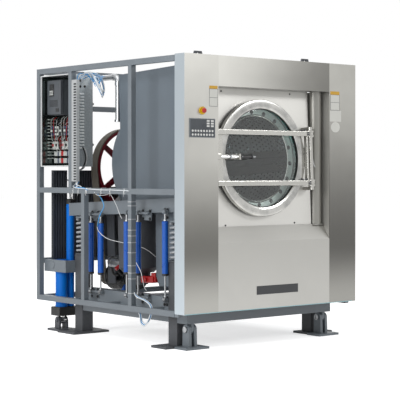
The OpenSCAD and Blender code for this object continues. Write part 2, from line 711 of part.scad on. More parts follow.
// Each lift cylinder and its oil tank stand in a yoke that turns on the trunnion pins
module lift_barrels() color("dodgerblue") both_sides() translate([lift_x, lift_y, 0]) difference() {
  union() {
    translate([0, 0, barrel_z0 - eps]) cylinder(r = lift_r, h = barrel_z1 - barrel_z0 + eps);
    translate([0, 0, gland_z]) cylinder(r = lift_r + 8, h = barrel_z0 - gland_z);
    translate([tank_x, 0, barrel_z0]) cylinder(r = tank_r, h = tank_z1 - barrel_z0);
    block([yoke_in, -lift_r - 8, trunnion_z - 30], [lift_r + 7, lift_r + 8, trunnion_z + 30]);
    translate([0, 0, trunnion_z]) rod_x(trunnion_r, yoke_in - 8 - arm_t, arm_in + arm_t);
  }
  translate([0, 0, gland_z - eps]) cylinder(r = lift_rod_r + run_gap, h = barrel_z1 - 40 - gland_z);
}
open_pivot_gap = 4;
lift_eye_half = lift_ear_gap / 2 - seat_gap;
module lift_rods() color("silver") both_sides() translate([lift_x, lift_y, 0]) difference() {
  union() {
    translate([0, 0, lift_pin_z]) cylinder(r = lift_rod_r, h = barrel_z1 - 60 - lift_pin_z);
    translate([0, 0, lift_pin_z]) rod_x(38, -lift_eye_half, lift_eye_half);
  }
  translate([0, 0, lift_pin_z]) rod_x(tilt_pin_r + open_pivot_gap, -lift_eye_half - 1, lift_eye_half + 1);
}

// Dampers between the base and the cradle, two on a bar or one
function bar_y(i) = (damper_bars[i][0] + damper_bars[i][1]) / 2;
function upper_bar_z(i) = beam_under(bar_y(i)) + 4;
function damper_top(i) = upper_bar_z(i) - 82;
module at_dampers(i) for (sx = [-1, 1], y = damper_groups[i]) translate([sx * damper_x, y, 0]) children();
module damper_barrels() color("royalblue") for (i = [0:2]) at_dampers(i) difference() {
  union() {
    translate([0, 0, damper_top(i) - damper_len]) cylinder(r = damper_r, h = damper_len);
    translate([0, 0, damper_top(i) - eps]) cylinder(r = 10, h = 70);
    translate([0, 0, upper_bar_z(i)]) rod_y(21, -15, 15);
  }
  translate([0, 0, upper_bar_z(i)]) rod_y(12 + seat_gap, -16, 16);
  translate([0, 0, damper_top(i) - damper_len - eps])
    cylinder(r = damper_rod_r + run_gap, h = damper_len - 60);
}
module damper_rods() color("silver") for (i = [0:2]) at_dampers(i) translate([0, 0, damper_low_z])
  difference() {
    union() {
      cylinder(r = damper_rod_r, h = damper_top(i) - 110 - damper_low_z);
      rod_y(21, -15, 15);
    }
    rod_y(12 + seat_gap, -16, 16);
  }
// A bolted plate on a beam's outer face, an arm and the bar that the damper eyes turn on
module damper_bracket(i, z, plate_z0, plate_z1, face) {
  span = bracket_spans[i];
  block([face, span[0], plate_z0], [face + bracket_t, span[1], plate_z1]);
  arm_y = arm_places[i];
  block([face + bracket_t - eps, arm_y, z - 16], [damper_x + 4, arm_y + 14, z + 16]);
  translate([damper_x, 0, z]) rod_y(12, damper_bars[i][0], damper_bars[i][1]);
}
module upper_damper_brackets() color("gray") both_sides() for (i = [0:2])
  damper_bracket(i, upper_bar_z(i), upper_bar_z(i) - 64, upper_bar_z(i) + 36,
    post_x + cradle_w / 2 + seat_gap);
module lower_damper_brackets() color("gray") both_sides() for (i = [0:2])
  damper_bracket(i, damper_low_z, damper_low_z - 58, damper_low_z + 32, beam_out + seat_gap);

// Water pipe from the rear to the tub
pipe_x = drum_x - 515;
pipe_z = frame_top - 91;
pipe_down_y = panel_y + tub_end + 44;
pipe_foot_z = drum_z + 351;
bend_r = 55;
module water_pipe() color("silver") translate([pipe_x, 0, 0]) {
  r = pipe_d / 2;
  translate([0, 0, pipe_z]) difference() {
    union() {
      rod_y(r, pipe_down_y + bend_r, back_reach);
      rod_y(r + 14, back_reach - 14, back_reach);
      rod_y(r + 5, pipe_down_y + bend_r, pipe_down_y + bend_r + 26);
    }
    rod_y(r - 3, pipe_down_y + bend_r - 1, back_reach + 1);
  }
  translate([0, pipe_down_y + bend_r, pipe_z - bend_r]) rotate([0, -90, 0])
    rotate_extrude(angle = -90) translate([bend_r, 0]) difference() {
      circle(r = r + 2);
      circle(r = r - 3);
    }
  translate([0, pipe_down_y, pipe_foot_z]) difference() {
    union() {
      cylinder(r = r, h = pipe_z - bend_r - pipe_foot_z);
      translate([0, 0, pipe_z - bend_r - pipe_foot_z - 26]) cylinder(r = r + 5, h = 26);
      cylinder(r = r + 8, h = 20);
    }
    translate([0, 0, -1]) cylinder(r = r - 3, h = pipe_z);
  }
  block([-30, rail_y1 - 26, pipe_z + r - 2], [30, rail_y1, top_rail_z + 20]);
}

// Sprung cradle: pitched side beams, cross beams behind the tub and blocks to its cheeks
module cradle_frame() color("gray") {
  pitched() {
    both_sides()
      block([post_x - cradle_w / 2, 100, beam_low], [post_x + cradle_w / 2, cradle_end, beam_low + cradle_h]);
    inner = post_x - cradle_w / 2 - seat_gap;
    for (run = [tub_end + 30, pulley_y - 250])
      block([-inner, run, beam_low], [inner, run + cradle_h, beam_low + cradle_h]);
    for (run = [200, drum_end * 0.54, drum_end - 120]) {
      block([-inner, run, beam_low + 10], [drum_x - cheek_x - seat_gap, run + 90, beam_low + cradle_h - 10]);
      block([drum_x + cheek_x + seat_gap, run, beam_low + 10], [inner, run + 90, beam_low + cradle_h - 10]);
    }
  }
  for (sx = [-1, 1], y = [post_front_y, post_rear_y])
    translate([sx * post_x, y, spring_top]) {
      cylinder(r = spring_r + 2, h = 14);
      cylinder(r = 44, h = beam_under(y + 44) - spring_top - seat_gap);
    }
}

// Tub
module tub_shell() color("slategray") on_drum() ring_y(tub_r, tub_r - tub_t, plate_back + seat_gap, tub_end);
module tub_casing() color("slategray") on_drum() {
  under_top = cheek_top - cheek_t - seat_gap;
  y0 = plate_back + seat_gap;
  for (x0 = [-cheek_x, cheek_x - cheek_t]) translate([x0, 0, 0]) rotate([90, 0, 90])
    linear_extrude(cheek_t) polygon([[y0, under_top], [cheek_end, under_top], [cheek_end, beam_low],
      [690, beam_low], [706, 95 - skirt_drop], [668, -skirt_drop], [y0, -skirt_drop]]);
  block([-cheek_x, y0, cheek_top - cheek_t], [cheek_x, cheek_end, cheek_top]);
  difference() {
    block([-cheek_x + cheek_t + seat_gap, cheek_end - cheek_t, beam_low],
      [cheek_x - cheek_t - seat_gap, cheek_end, under_top]);
    ring_y(tub_r + seat_gap, 0, cheek_end - 20, cheek_end + 20);
  }
}
collar_r = 452;
module tub_front_plate() color("slategray") on_drum() difference() {
  block([-cheek_x, plate_y, -skirt_drop], [cheek_x, plate_back, cheek_top]);
  ring_y(collar_r + seat_gap, 0, 0, 60);
}
module tub_back_plate() color("slategray") on_drum() {
  difference() {
    union() {
      ring_y(tub_r - tub_t - seat_gap, 0, back_plate_y, back_plate_y + 12);
      ring_y(housing_r + 90, 0, back_plate_y + 11, tub_end + 20);
    }
    ring_y(shaft_r + 8, 0, back_plate_y - 1, tub_end + 21);
  }
}
module front_panel() color("silver") on_drum() difference() {
  union() {
    block([-cheek_x, 0, -panel_down], [cheek_x, sheet_t, panel_up]);
    for (x = [-cheek_x, cheek_x - sheet_t])
      block([x, sheet_t - eps, -panel_down], [x + sheet_t, plate_y - seat_gap, panel_up]);
  }
  ring_y(collar_r + seat_gap, 0, -1, 10);
}
module tub_collar() color("teal") on_drum() {
  ring_y(collar_r, collar_r - 5, -1, 44);
  ring_y(collar_r + 26, collar_r + 1, sheet_t + seat_gap, plate_y - seat_gap);
}
module bearing_housing() color("dimgray") on_drum() {
  y0 = tub_end + 20 + seat_gap;
  y1 = pulley_y - 30;
  difference() {
    union() {
      ring_y(housing_r, 0, y0, y1);
      ring_y(housing_r + 50, 0, y0, y0 + 30);
      ring_y(housing_r + 20, 0, y1 - 40, y1);
    }
    ring_y(shaft_r + 10, 0, y0 - 1, y1 + 1);
    for (y = [y0, y1 - bearing_w]) ring_y(bearing_r + seat_gap, 0, y - 1, y + bearing_w + 1);
  }
  foot_top = -sqrt(housing_r * housing_r - 60 * 60) - seat_gap;
  foot_y = pulley_y - 250;
  for (run = [foot_y, tub_end + 30]) translate([0, run + 10, 0]) rotate([90, 0, 180])
    linear_extrude(cradle_h - 20) polygon([[-60, foot_top], [60, foot_top],
      [330, beam_low + cradle_h + seat_gap], [-330, beam_low + cradle_h + seat_gap]]);
}
bearing_r = 105;
bearing_w = 60;
module bearings() color("silver") on_drum() {
  y0 = tub_end + 20 + seat_gap;
  y1 = pulley_y - 30;
  for (y = [y0, y1 - bearing_w]) ring_y(bearing_r, shaft_r + run_gap, y + 2, y + bearing_w - 2);
}

// Motor under the bearing housing
module at_motor() on_drum() translate([motor_x, 0, motor_z]) children();
motor_end = pulley_y - 20;
module motor_body() color("black") at_motor() {
  difference() {
    union() {
      ring_y(motor_r - 12, 0, motor_end - motor_len, motor_end);
      for (y = [motor_end - motor_len + 24:22:motor_end - 30]) ring_y(motor_r, 0, y, y + 9);
      ring_y(motor_r, 0, motor_end - 16, motor_end);
      ring_y(motor_r - 4, 0, motor_end - motor_len - 50, motor_end - motor_len + 8);
    }
    ring_y(24 + run_gap, 0, motor_end - motor_len + 40, motor_end + 1);
  }
  block([-80, motor_end - 250, motor_r - 14], [60, motor_end - 110, motor_r + 42]);
}
module motor_bracket() color("dimgray") on_drum() {
  top = beam_low - seat_gap;
  y0 = pulley_y - 250;
  reach = motor_r + 34;
  difference() {
    for (side = [-1, 1]) translate([motor_x, 0, 0]) {
      x0 = side < 0 ? -reach : reach - 12;
      block([x0, y0, motor_z - 60], [x0 + 12, y0 + cradle_h, top]);
      x1 = side < 0 ? -reach + 6 : 100;
      block([x1, y0 + 30, motor_z - 30], [x1 + reach - 106, y0 + 90, motor_z + 30]);
    }
    translate([motor_x, 0, motor_z]) ring_y(motor_r + seat_gap, 0, y0 - 20, y0 + cradle_h + 20);
  }
}
// The outline round two pulleys, for a radius added to both: an arc on each, with straight runs between
arc_steps = 48;
function arc_points(centre, r, a0, a1, n) =
  [for (i = [0:n]) let (a = a0 + (a1 - a0) * i / n) centre + r * [cos(a), sin(a)]];
function belt_outline(grow) =
  let (centre = [motor_x, motor_z],
    heading = atan2(motor_z, motor_x),
    open = acos((pulley_r - motor_pulley_r) / norm(centre)),
    outside = 1 / cos((180 - open) / arc_steps))
  concat(
    arc_points([0, 0], (pulley_r + grow) * outside, heading + open, heading + 360 - open, arc_steps),
    arc_points(centre, (motor_pulley_r + grow) * outside, heading - open, heading + open, arc_steps / 2));
module drive_belts() color("black") on_drum()
  for (i = [0:4]) translate([0, pulley_y + 9 + i * 21, 0]) rotate([90, 0, 0]) mirror([0, 0, 1])
    linear_extrude(15) difference() {
      polygon(belt_outline(belt_t));
      polygon(belt_outline(seat_gap));
    }
module drive_pulley() color("darkred") on_drum() {
  difference() {
    union() {
      ring_y(pulley_r, pulley_r - 26, pulley_y, pulley_y + pulley_w);
      ring_y(110, 0, pulley_y, pulley_y + pulley_w);
      for (a = [0:4]) rotate([0, 72 * a + 20, 0])
        block([-26, pulley_y + 30, 90], [26, pulley_y + pulley_w - 30, pulley_r - 20]);
    }
    ring_y(shaft_r + run_gap, 0, pulley_y - 1, pulley_y + pulley_w + 1);
  }
}
module motor_pulley() color("darkred") at_motor() {
  ring_y(motor_pulley_r, 0, pulley_y, pulley_y + pulley_w);
  rod_y(24, motor_end - motor_len + 60, pulley_y + 1);
}

// Drum
module drum_shell() color("silver") on_drum() {
  ring_y(drum_r, drum_r - drum_t, drum_front + 8 + seat_gap, drum_end);
}
module drum_mouth() color("silver") on_drum() {
  ring_y(drum_r, mouth_r + 60, drum_front, drum_front + 8);
  ring_y(mouth_r + 72, mouth_r, drum_front - 8, drum_front - seat_gap);
}
module drum_lifters() color("gray") on_drum() for (a = [0, 120, 240]) rotate([0, a + 90, 0])
  translate([0, drum_front + 30, 0]) rotate([-90, 0, 0]) linear_extrude(drum_len - 60) {
    base = drum_r - drum_t - seat_gap;
    low = sqrt(base * base - 90 * 90);
    polygon([[-90, -low], [-32, -low + lifter_h - 12], [-20, -low + lifter_h], [20, -low + lifter_h],
      [32, -low + lifter_h - 12], [90, -low]]);
  }
module drum_spider() color("gray") on_drum() {
  ring_y(drum_r - drum_t - seat_gap, 0, drum_end - 12, drum_end - seat_gap);
  ring_y(135, 0, drum_end - 1, drum_end + 62);
  for (a = [0:2]) rotate([0, 120 * a, 0])
    block([-45, drum_end - 1, 100], [45, drum_end + 50, drum_r - 30]);
  rod_y(shaft_r, drum_end + 50, pulley_y + pulley_w + 26);
}
// Hollow drain sump beside the tub's bottom, with the dump valve and its actuator under it
module drain_valve() color("gray") on_drum() {
  x = 145 - tub_r;
  run = tub_end - sump_r;
  top = beam_low - 14;
  foot = 110 - skirt_drop;
  difference() {
    translate([x, run, 0]) sump(sump_r, foot, top);
    translate([x, run, 0]) sump(sump_r - sump_t, foot + sump_t, top - sump_t);
    ring_y(tub_r + seat_gap, 0, run - sump_r - 10, run + sump_r + 10);
  }
  translate([x, run, -skirt_drop]) {
    cylinder(r = 82, h = 36);
    translate([0, 0, 35]) cylinder(r = 105, h = 76);
    block([-52, -270, 22], [52, -60, 76]);
    block([-30, -292, 34], [30, -269, 64]);
  }
}
module sump(r, low, high) translate([0, 0, low]) rotate_extrude()
  polygon([[0, 0], [r - 45, 0], [r, 45], [r, high - low], [0, high - low]]);

// Door: its ring, seal and glass hang on two bars that swing on the hinge post
seal_back = -0.4;
seal_front = seal_back - seal_t;
ring_back = seal_front - seat_gap;
ring_front = ring_back - ring_t;
bar_back = ring_front - seat_gap;
hinge_y = bar_back - bar_d / 2;
bar_left = -650;
bar_heights = [bar_up, -bar_down];
lock_rise = 6;
module door_ring() color("silver") on_drum() ring_y(ring_r, window_r, ring_front, ring_back);
module door_seal() color("black") on_drum() ring_y(ring_r - 4, collar_r + 9, seal_front, seal_back);
module door_glass() color("lightblue", 0.4) on_drum()
  ring_y(collar_r + 5, 0, ring_back + seat_gap, ring_back + seat_gap + glass_t);
module door_arm() color("silver") pitched() difference() {
  union() {
    for (z = bar_heights) {
      block([bar_left, bar_back - bar_d, z - bar_h / 2], [hinge_x, bar_back, z + bar_h / 2]);
      translate([hinge_x, hinge_y, z - 32]) cylinder(r = knuckle_r, h = 64);
    }
    block([bar_left, bar_back - 14, -bar_down], [bar_left + 88, bar_back, bar_up]);
    block([hinge_x - 60, bar_back - bar_d + 6, -bar_down], [hinge_x - 38, bar_back, bar_up]);
    block([bar_left, hinge_y - 22, lock_rise - 26], [bar_left + 46, bar_back - 10, lock_rise + 26]);
    block([-404, hinge_y - 22, lock_rise - 26], [-384, bar_back, lock_rise + 26]);
    block([bar_left + 60, bar_back - 14, lock_rise - 20], [-400, bar_back, lock_rise + 20]);
  }
  translate([hinge_x, hinge_y, -bar_down - 60])
    cylinder(r = hinge_post_r + run_gap, h = bar_up + bar_down + 120);
  translate([0, hinge_y, lock_rise]) rod_x(bolt_r + run_gap, bar_left - 1, -380);
}
module lock_cylinder() color("black") pitched() translate([0, hinge_y, lock_rise]) difference() {
  rod_x(17, -384 + seat_gap, -240);
  rod_x(bolt_r + run_gap, -385, -250);
}
module lock_bolt() color("silver") pitched() translate([0, hinge_y, lock_rise])
  rod_x(bolt_r, bar_left + 2, -300);
keeper_x = bar_left - 14;
module door_mounts() color("silver") pitched() {
  foot = 30;
  translate([hinge_x, hinge_y, -bar_down - 32 - foot])
    cylinder(r = hinge_post_r, h = bar_up + bar_down + 64 + 2 * foot);
  for (z = [bar_up + 32 + free_gap, -bar_down - 32 - foot, 72])
    block([hinge_x - 24, hinge_y, z], [hinge_x + 24, -seat_gap, z + foot - free_gap]);
  difference() {
    block([keeper_x - 36, hinge_y - 18, lock_rise - 24], [keeper_x, -seat_gap, lock_rise + 24]);
    translate([0, hinge_y, lock_rise]) rod_x(bolt_r + free_gap, keeper_x - 37, keeper_x + 1);
  }
}
// Air hose from the hinge post's middle foot to the half-round column
// each point's share of the way across, and its place from the drum's axis at the panel
hose_shape = [[0, -46, 82], [0.13, -52, 68], [0.236, -57, 38], [0.32, -60, 1], [0.417, -60, -29],
  [0.583, -57, -54], [0.79, -53, -68], [1, -41, -74]];
hose_route = [for (p = hose_shape)
  [hinge_x + 28.6 + p[0] * (bay_x - hinge_x - 28.6 - 44.5), panel_y + p[1], drum_z + p[2]]];
module air_hose() color("white") swept(hose_route, 5, 8, false);

hinge_brackets();
hinge_pins();
lift_feet();
base_beams();
foot_posts();
coil_springs();
side_frames();
rear_frame();
left_column();
right_column();
header_panel();
apron_panel();
lifting_lugs();
blank_plates();
control_bezel();
control_display();
control_keys();
estop_base();
estop_button();
electric_cabinet();
inverter();
contactors();
cable_duct();
wiring_loom();
rear_guards();
lift_brackets();
damper_rods();
lower_damper_brackets();
water_pipe();
cradle_frame();
tub_shell();
tub_casing();
tub_front_plate();
tub_back_plate();
front_panel();
tub_collar();
bearing_housing();
bearings();
motor_body();
motor_bracket();
drive_belts();
damper_barrels();
upper_damper_brackets();
drain_valve();
door_mounts();
drum_shell();
drum_mouth();
drum_lifters();
drum_spider();
drive_pulley();
motor_pulley();
door_arm();
door_ring();
door_seal();
door_glass();
lock_cylinder();
lock_bolt();
lift_barrels();
lift_rods();
air_hose();
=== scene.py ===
"""Looks of a tilting industrial washer-extractor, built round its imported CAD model.

Lengths in this file are millimetres in the row frame: X to the right, Y to the back and Z up,
with the origin on the floor under the middle of the machine. Meshes are written in metres.
"""

from __future__ import annotations

import json
import logging
import math
from dataclasses import dataclass, field
from enum import Enum
from typing import Any, Iterable, Iterator, Sequence

import bmesh
import bpy
from mathutils import Matrix, Vector

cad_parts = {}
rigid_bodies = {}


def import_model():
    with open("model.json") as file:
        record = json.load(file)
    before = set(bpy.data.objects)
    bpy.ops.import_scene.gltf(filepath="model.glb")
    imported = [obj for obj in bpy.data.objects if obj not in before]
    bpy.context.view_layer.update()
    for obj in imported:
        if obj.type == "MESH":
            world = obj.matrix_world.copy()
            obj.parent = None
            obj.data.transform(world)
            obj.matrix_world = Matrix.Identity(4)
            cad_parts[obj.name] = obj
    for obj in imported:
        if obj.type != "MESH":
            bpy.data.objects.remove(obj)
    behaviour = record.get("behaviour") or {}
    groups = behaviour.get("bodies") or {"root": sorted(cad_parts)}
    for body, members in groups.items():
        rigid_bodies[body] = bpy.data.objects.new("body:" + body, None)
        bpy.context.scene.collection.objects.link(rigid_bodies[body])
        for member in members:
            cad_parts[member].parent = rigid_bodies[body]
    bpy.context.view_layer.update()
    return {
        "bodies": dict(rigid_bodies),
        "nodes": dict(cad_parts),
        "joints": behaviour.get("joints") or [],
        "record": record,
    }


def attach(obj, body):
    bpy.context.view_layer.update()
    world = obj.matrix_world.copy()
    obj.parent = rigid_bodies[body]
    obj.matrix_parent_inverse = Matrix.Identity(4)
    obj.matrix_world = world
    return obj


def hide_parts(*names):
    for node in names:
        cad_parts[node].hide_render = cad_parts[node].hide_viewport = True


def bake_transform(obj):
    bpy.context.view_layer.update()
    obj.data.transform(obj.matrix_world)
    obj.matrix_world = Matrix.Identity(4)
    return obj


log = logging.getLogger("washer")
Point = tuple[float, float, float]
Coords = Sequence[float]
Outline = Sequence[tuple[float, float]]
Tree = bpy.types.NodeTree
MM = 0.001
ORIGIN: Point = (0.0, 0.0, 0.0)
RIGHT: Point = (1.0, 0.0, 0.0)
BACKWARD: Point = (0.0, 1.0, 0.0)
UP: Point = (0.0, 0.0, 1.0)
WHITE = (1.0, 1.0, 1.0, 1.0)
SIDES = (-1, 1)


class Body(str, Enum):
    """The rigid bodies that the script's own pieces ride on."""

    FLOOR = "floor_mounts"
    MACHINE = "machine"
    CRADLE = "cradle"
    DRUM = "drum"
    DOOR = "door"
    BOLT = "door_lock"
    BARRELS = "lift_barrels"


# ---------------------------------------------------------------- finishes


def linear(code: str) -> tuple[float, float, float, float]:
    """Turns an sRGB hex value into Blender's linear colour.

    Args:
        code: six hex digits, such as "5B5E63".

    Returns:
        Linear red, green, blue and an alpha of one.
    """
    parts = [int(code[i : i + 2], 16) / 255 for i in (0, 2, 4)]
    done = [c / 12.92 if c <= 0.04045 else ((c + 0.055) / 1.055) ** 2.4 for c in parts]
    return (done[0], done[1], done[2], 1.0)


def add(tree: Tree, kind: str, links: dict | None = None, **settings: Any) -> Any:
    """Adds one node with its settings, and links or sets its inputs.

    Args:
        tree: the node tree that gets the node.
        kind: the node's type name.
        links: input name or index to a socket to link from, or to a value.
        **settings: attributes of the node.

    Returns:
        The new node.
    """
    node = tree.nodes.new(kind)
    for name, value in settings.items():
        setattr(node, name, value)
    for key, value in (links or {}).items():
        socket = node.inputs[key]
        if isinstance(value, bpy.types.NodeSocket):
            tree.links.new(value, socket)
        else:
            socket.default_value = value
    return node


def spread(tree: Tree, value: Any, low: float, high: float, first: float, last: float,
           kind: str = "LINEAR") -> Any:
    """Adds a Map Range node.

    Args:
        tree: the tree that gets the node.
        value: socket of the value that is mapped.
        low: the value that gives the first result.
        high: the value that gives the last result.
        first: the first result.
        last: the last result.
        kind: the node's interpolation.

    Returns:
        The result's socket.
    """
    links = {0: value, 1: low, 2: high, 3: first, 4: last}
    return add(tree, "ShaderNodeMapRange", links, interpolation_type=kind).outputs[0]


def blended(tree: Tree, share: Any, under: Any, over: str) -> Any:
    """Adds a Mix node for colours.

    Args:
        tree: the tree that gets the node.
        share: socket of the second colour's share.
        under: the first colour, a socket or a linear colour.
        over: the second colour's hex value.

    Returns:
        The colour's socket.
    """
    return add(tree, "ShaderNodeMix", {0: share, 6: under, 7: linear(over)}, data_type="RGBA").outputs[2]


def combined(tree: Tree, operation: str, *values: Any) -> Any:
    """Adds a Math node.

    Args:
        tree: the tree that gets the node.
        operation: what the node does.
        *values: its inputs, sockets or numbers.

    Returns:
        The result's socket.
    """
    return add(tree, "ShaderNodeMath", dict(enumerate(values)), operation=operation).outputs[0]


def emptied(owner: bpy.types.Material | bpy.types.World) -> Tree:
    """Turns nodes on and removes those that come with them.

    Args:
        owner: the material or world.

    Returns:
        Its empty tree.
    """
    owner.use_nodes = True
    owner.node_tree.nodes.clear()
    return owner.node_tree


@dataclass(frozen=True)
class Finish:
    """A surface: what it is made of, its colour and how it was worked.

    Attributes:
        name: the material's name, after what the real one is.
        colour: its sRGB hex value.
        worn: the hex value that its large, faint patches drift to.
        metallic: one for bare metal.
        roughness: middle roughness, from 0 to 1.
        patch_mm: size of the large patches of colour and gloss.
        grain_mm: size of the fine relief along X, Y and Z.
        relief: strength of the fine relief.
        sheen: roughness added and taken by the patches.
        drift: share of the worn colour in the patches.
        gloss: strength of the highlight of a surface that isn't metal.
        grain_depth: depth of the fine relief in metres, before its strength.
    """

    name: str
    colour: str
    worn: str
    metallic: float = 0.0
    roughness: float = 0.45
    patch_mm: float = 260.0
    grain_mm: Point = (3.0, 3.0, 3.0)
    relief: float = 0.12
    sheen: float = 0.08
    drift: float = 0.55
    gloss: float = 0.5
    grain_depth: float = 0.0006

    def build(self) -> bpy.types.Material:
        """Makes the material, or finds the one already made.

        Returns:
            The material.
        """
        material = bpy.data.materials.get(self.name)
        if not material:
            material = bpy.data.materials.new(self.name)
            tree = emptied(material)
            place = add(tree, "ShaderNodeTexCoord").outputs["Object"]
            add(tree, "ShaderNodeOutputMaterial", {"Surface": self.surface(tree, place)})
        return material

    def surface(self, tree: Tree, place: Any) -> Any:
        """Builds the shader.

        Args:
            tree: the material's tree.
            place: socket of the place on the object.

        Returns:
            The shader's socket.
        """
        noise = {"Vector": place, "Scale": 1 / (self.patch_mm * MM), "Detail": 4.0, "Roughness": 0.62}
        patch = add(tree, "ShaderNodeTexNoise", noise).outputs["Fac"]
        relief = {"Height": self.grain(tree, place), "Strength": self.relief, "Distance": self.grain_depth}
        look = {
            "Base Color": self.tint(tree, place, patch),
            "Metallic": self.metallic,
            "Roughness": spread(tree, patch, 0.25, 0.75, self.roughness - self.sheen, self.roughness + self.sheen),
            "Normal": add(tree, "ShaderNodeBump", relief).outputs[0],
            "Specular IOR Level": self.gloss,
        }
        return add(tree, "ShaderNodeBsdfPrincipled", look).outputs[0]

    def tint(self, tree: Tree, place: Any, patch: Any) -> Any:
        """Mixes the colour and the worn colour by the patches.

        Args:
            tree: the material's tree.
            place: socket of the place on the object; not used here.
            patch: socket of the large noise.

        Returns:
            The colour's socket.
        """
        share = spread(tree, patch, 0.35, 0.75, 0.0, self.drift)
        return blended(tree, share, linear(self.colour), self.worn)

    def grain(self, tree: Tree, place: Any) -> Any:
        """The fine relief: a noise stretched by the grain's size along each axis.

        Args:
            tree: the material's tree.
            place: socket of the place on the object.

        Returns:
            The height's socket.
        """
        scale = tuple(1 / (g * MM) for g in self.grain_mm)
        stretch = add(tree, "ShaderNodeMapping", {"Vector": place, "Scale": scale}).outputs[0]
        return add(tree, "ShaderNodeTexNoise", {"Vector": stretch, "Scale": 1.0, "Detail": 3.0}).outputs["Fac"]


@dataclass(frozen=True)
class BrushedSteel(Finish):
    """Ground stainless sheet: fine lines along one axis and a soft painted shade along an axis.

    Attributes:
        low: hex value of the painted shade at its darkest place.
        low_mm: darkest place of the painted shade.
        high_mm: place where the painted shade has faded.
        rise_mm: place under which the painted shade is weak again.
        along: the painted shade's axis.
    """

    metallic: float = 1.0
    roughness: float = 0.34
    patch_mm: float = 900.0
    grain_mm: Point = (1.2, 1.2, 300.0)
    relief: float = 0.05
    low: str = "8F8E8A"
    low_mm: float = 1100.0
    high_mm: float = 1900.0
    rise_mm: float = 350.0
    along: str = "Z"

    def tint(self, tree: Tree, place: Any, patch: Any) -> Any:
        """Adds the slow painted shade: a darker colour towards low_mm along the axis.

        Args:
            tree: the material's tree.
            place: socket of the place on the object.
            patch: socket of the large noise.

        Returns:
            The colour's socket.
        """
        base = Finish.tint(self, tree, place, patch)
        height = add(tree, "ShaderNodeSeparateXYZ", {0: place}).outputs[self.along]
        rise, low, high = (mm * MM for mm in (self.rise_mm, self.low_mm, self.high_mm))
        # Painted shade: the low colour darkens the sheet at low_mm and fades by high_mm.
        painted_shade = spread(tree, height, low, high, 1.0, 0.0, "SMOOTHSTEP")
        fade = spread(tree, height, rise, low, 0.25, 1.0, "SMOOTHSTEP")
        return blended(tree, combined(tree, "MULTIPLY", painted_shade, fade), base, self.low)


@dataclass(frozen=True)
class FilmedSteel(BrushedSteel):
    """Ground stainless sheet whose outer side still wears its pale protective film.

    Attributes:
        film: hex value of the film.
        edge_mm: the film covers the sheet left of this X.
    """

    film: str = "B3BCC2"
    edge_mm: float = -1024.6

    def tint(self, tree: Tree, place: Any, patch: Any) -> Any:
        """Lays the film's colour over the sheet's outer side.

        Args:
            tree: the material's tree.
            place: socket of the place on the object.
            patch: socket of the large noise.

        Returns:
            The colour's socket.
        """
        steel = BrushedSteel.tint(self, tree, place, patch)
        across = add(tree, "ShaderNodeSeparateXYZ", {0: place}).outputs["X"]
        return blended(tree, combined(tree, "LESS_THAN", across, self.edge_mm * MM), steel, self.film)


@dataclass(frozen=True)
class PrimedSteel(Finish):
    """Turned steel whose upper part still wears its teal primer.

    Attributes:
        primer: hex value of the primer.
        bare_mm: height under which the steel is bare.
        full_mm: height over which the primer covers it.
    """

    primer: str = "3E7C78"
    bare_mm: float = 1600.0
    full_mm: float = 1790.0

    def tint(self, tree: Tree, place: Any, patch: Any) -> Any:
        """Lays the primer over the steel's upper part.

        Args:
            tree: the material's tree.
            place: socket of the place on the object.
            patch: socket of the large noise.

        Returns:
            The colour's socket.
        """
        steel = Finish.tint(self, tree, place, patch)
        height = add(tree, "ShaderNodeSeparateXYZ", {0: place}).outputs["Z"]
        share = spread(tree, height, self.bare_mm * MM, self.full_mm * MM, 0.0, 1.0)
        return blended(tree, share, steel, self.primer)


@dataclass(frozen=True)
class ClearGlass(Finish):
    """Toughened window glass, faintly green, that lets light and shadow rays through.

    Attributes:
        bending: the glass's index of refraction.
    """

    bending: float = 1.5

    def surface(self, tree: Tree, place: Any) -> Any:
        """Mixes the glass with a clear shader that shadow and diffuse rays meet.

        Args:
            tree: the material's tree.
            place: socket of the place on the object.

        Returns:
            The shader's socket.
        """
        ripple = add(tree, "ShaderNodeTexNoise", {"Vector": place, "Scale": 6.0, "Detail": 1.0}).outputs["Fac"]
        relief = {"Height": ripple, "Strength": 0.05, "Distance": 0.002}
        look = {
            "Base Color": linear(self.colour),
            "Roughness": spread(tree, ripple, 0.3, 0.7, 0.0, self.roughness),
            "IOR": self.bending,
            "Transmission Weight": 1.0,
            "Normal": add(tree, "ShaderNodeBump", relief).outputs[0],
        }
        glass = add(tree, "ShaderNodeBsdfPrincipled", look).outputs[0]
        clear = add(tree, "ShaderNodeBsdfTransparent", {"Color": linear(self.worn)}).outputs[0]
        path = add(tree, "ShaderNodeLightPath").outputs
        either = combined(tree, "MAXIMUM", path["Is Shadow Ray"], path["Is Diffuse Ray"])
        return add(tree, "ShaderNodeMixShader", {0: either, 1: glass, 2: clear}).outputs[0]


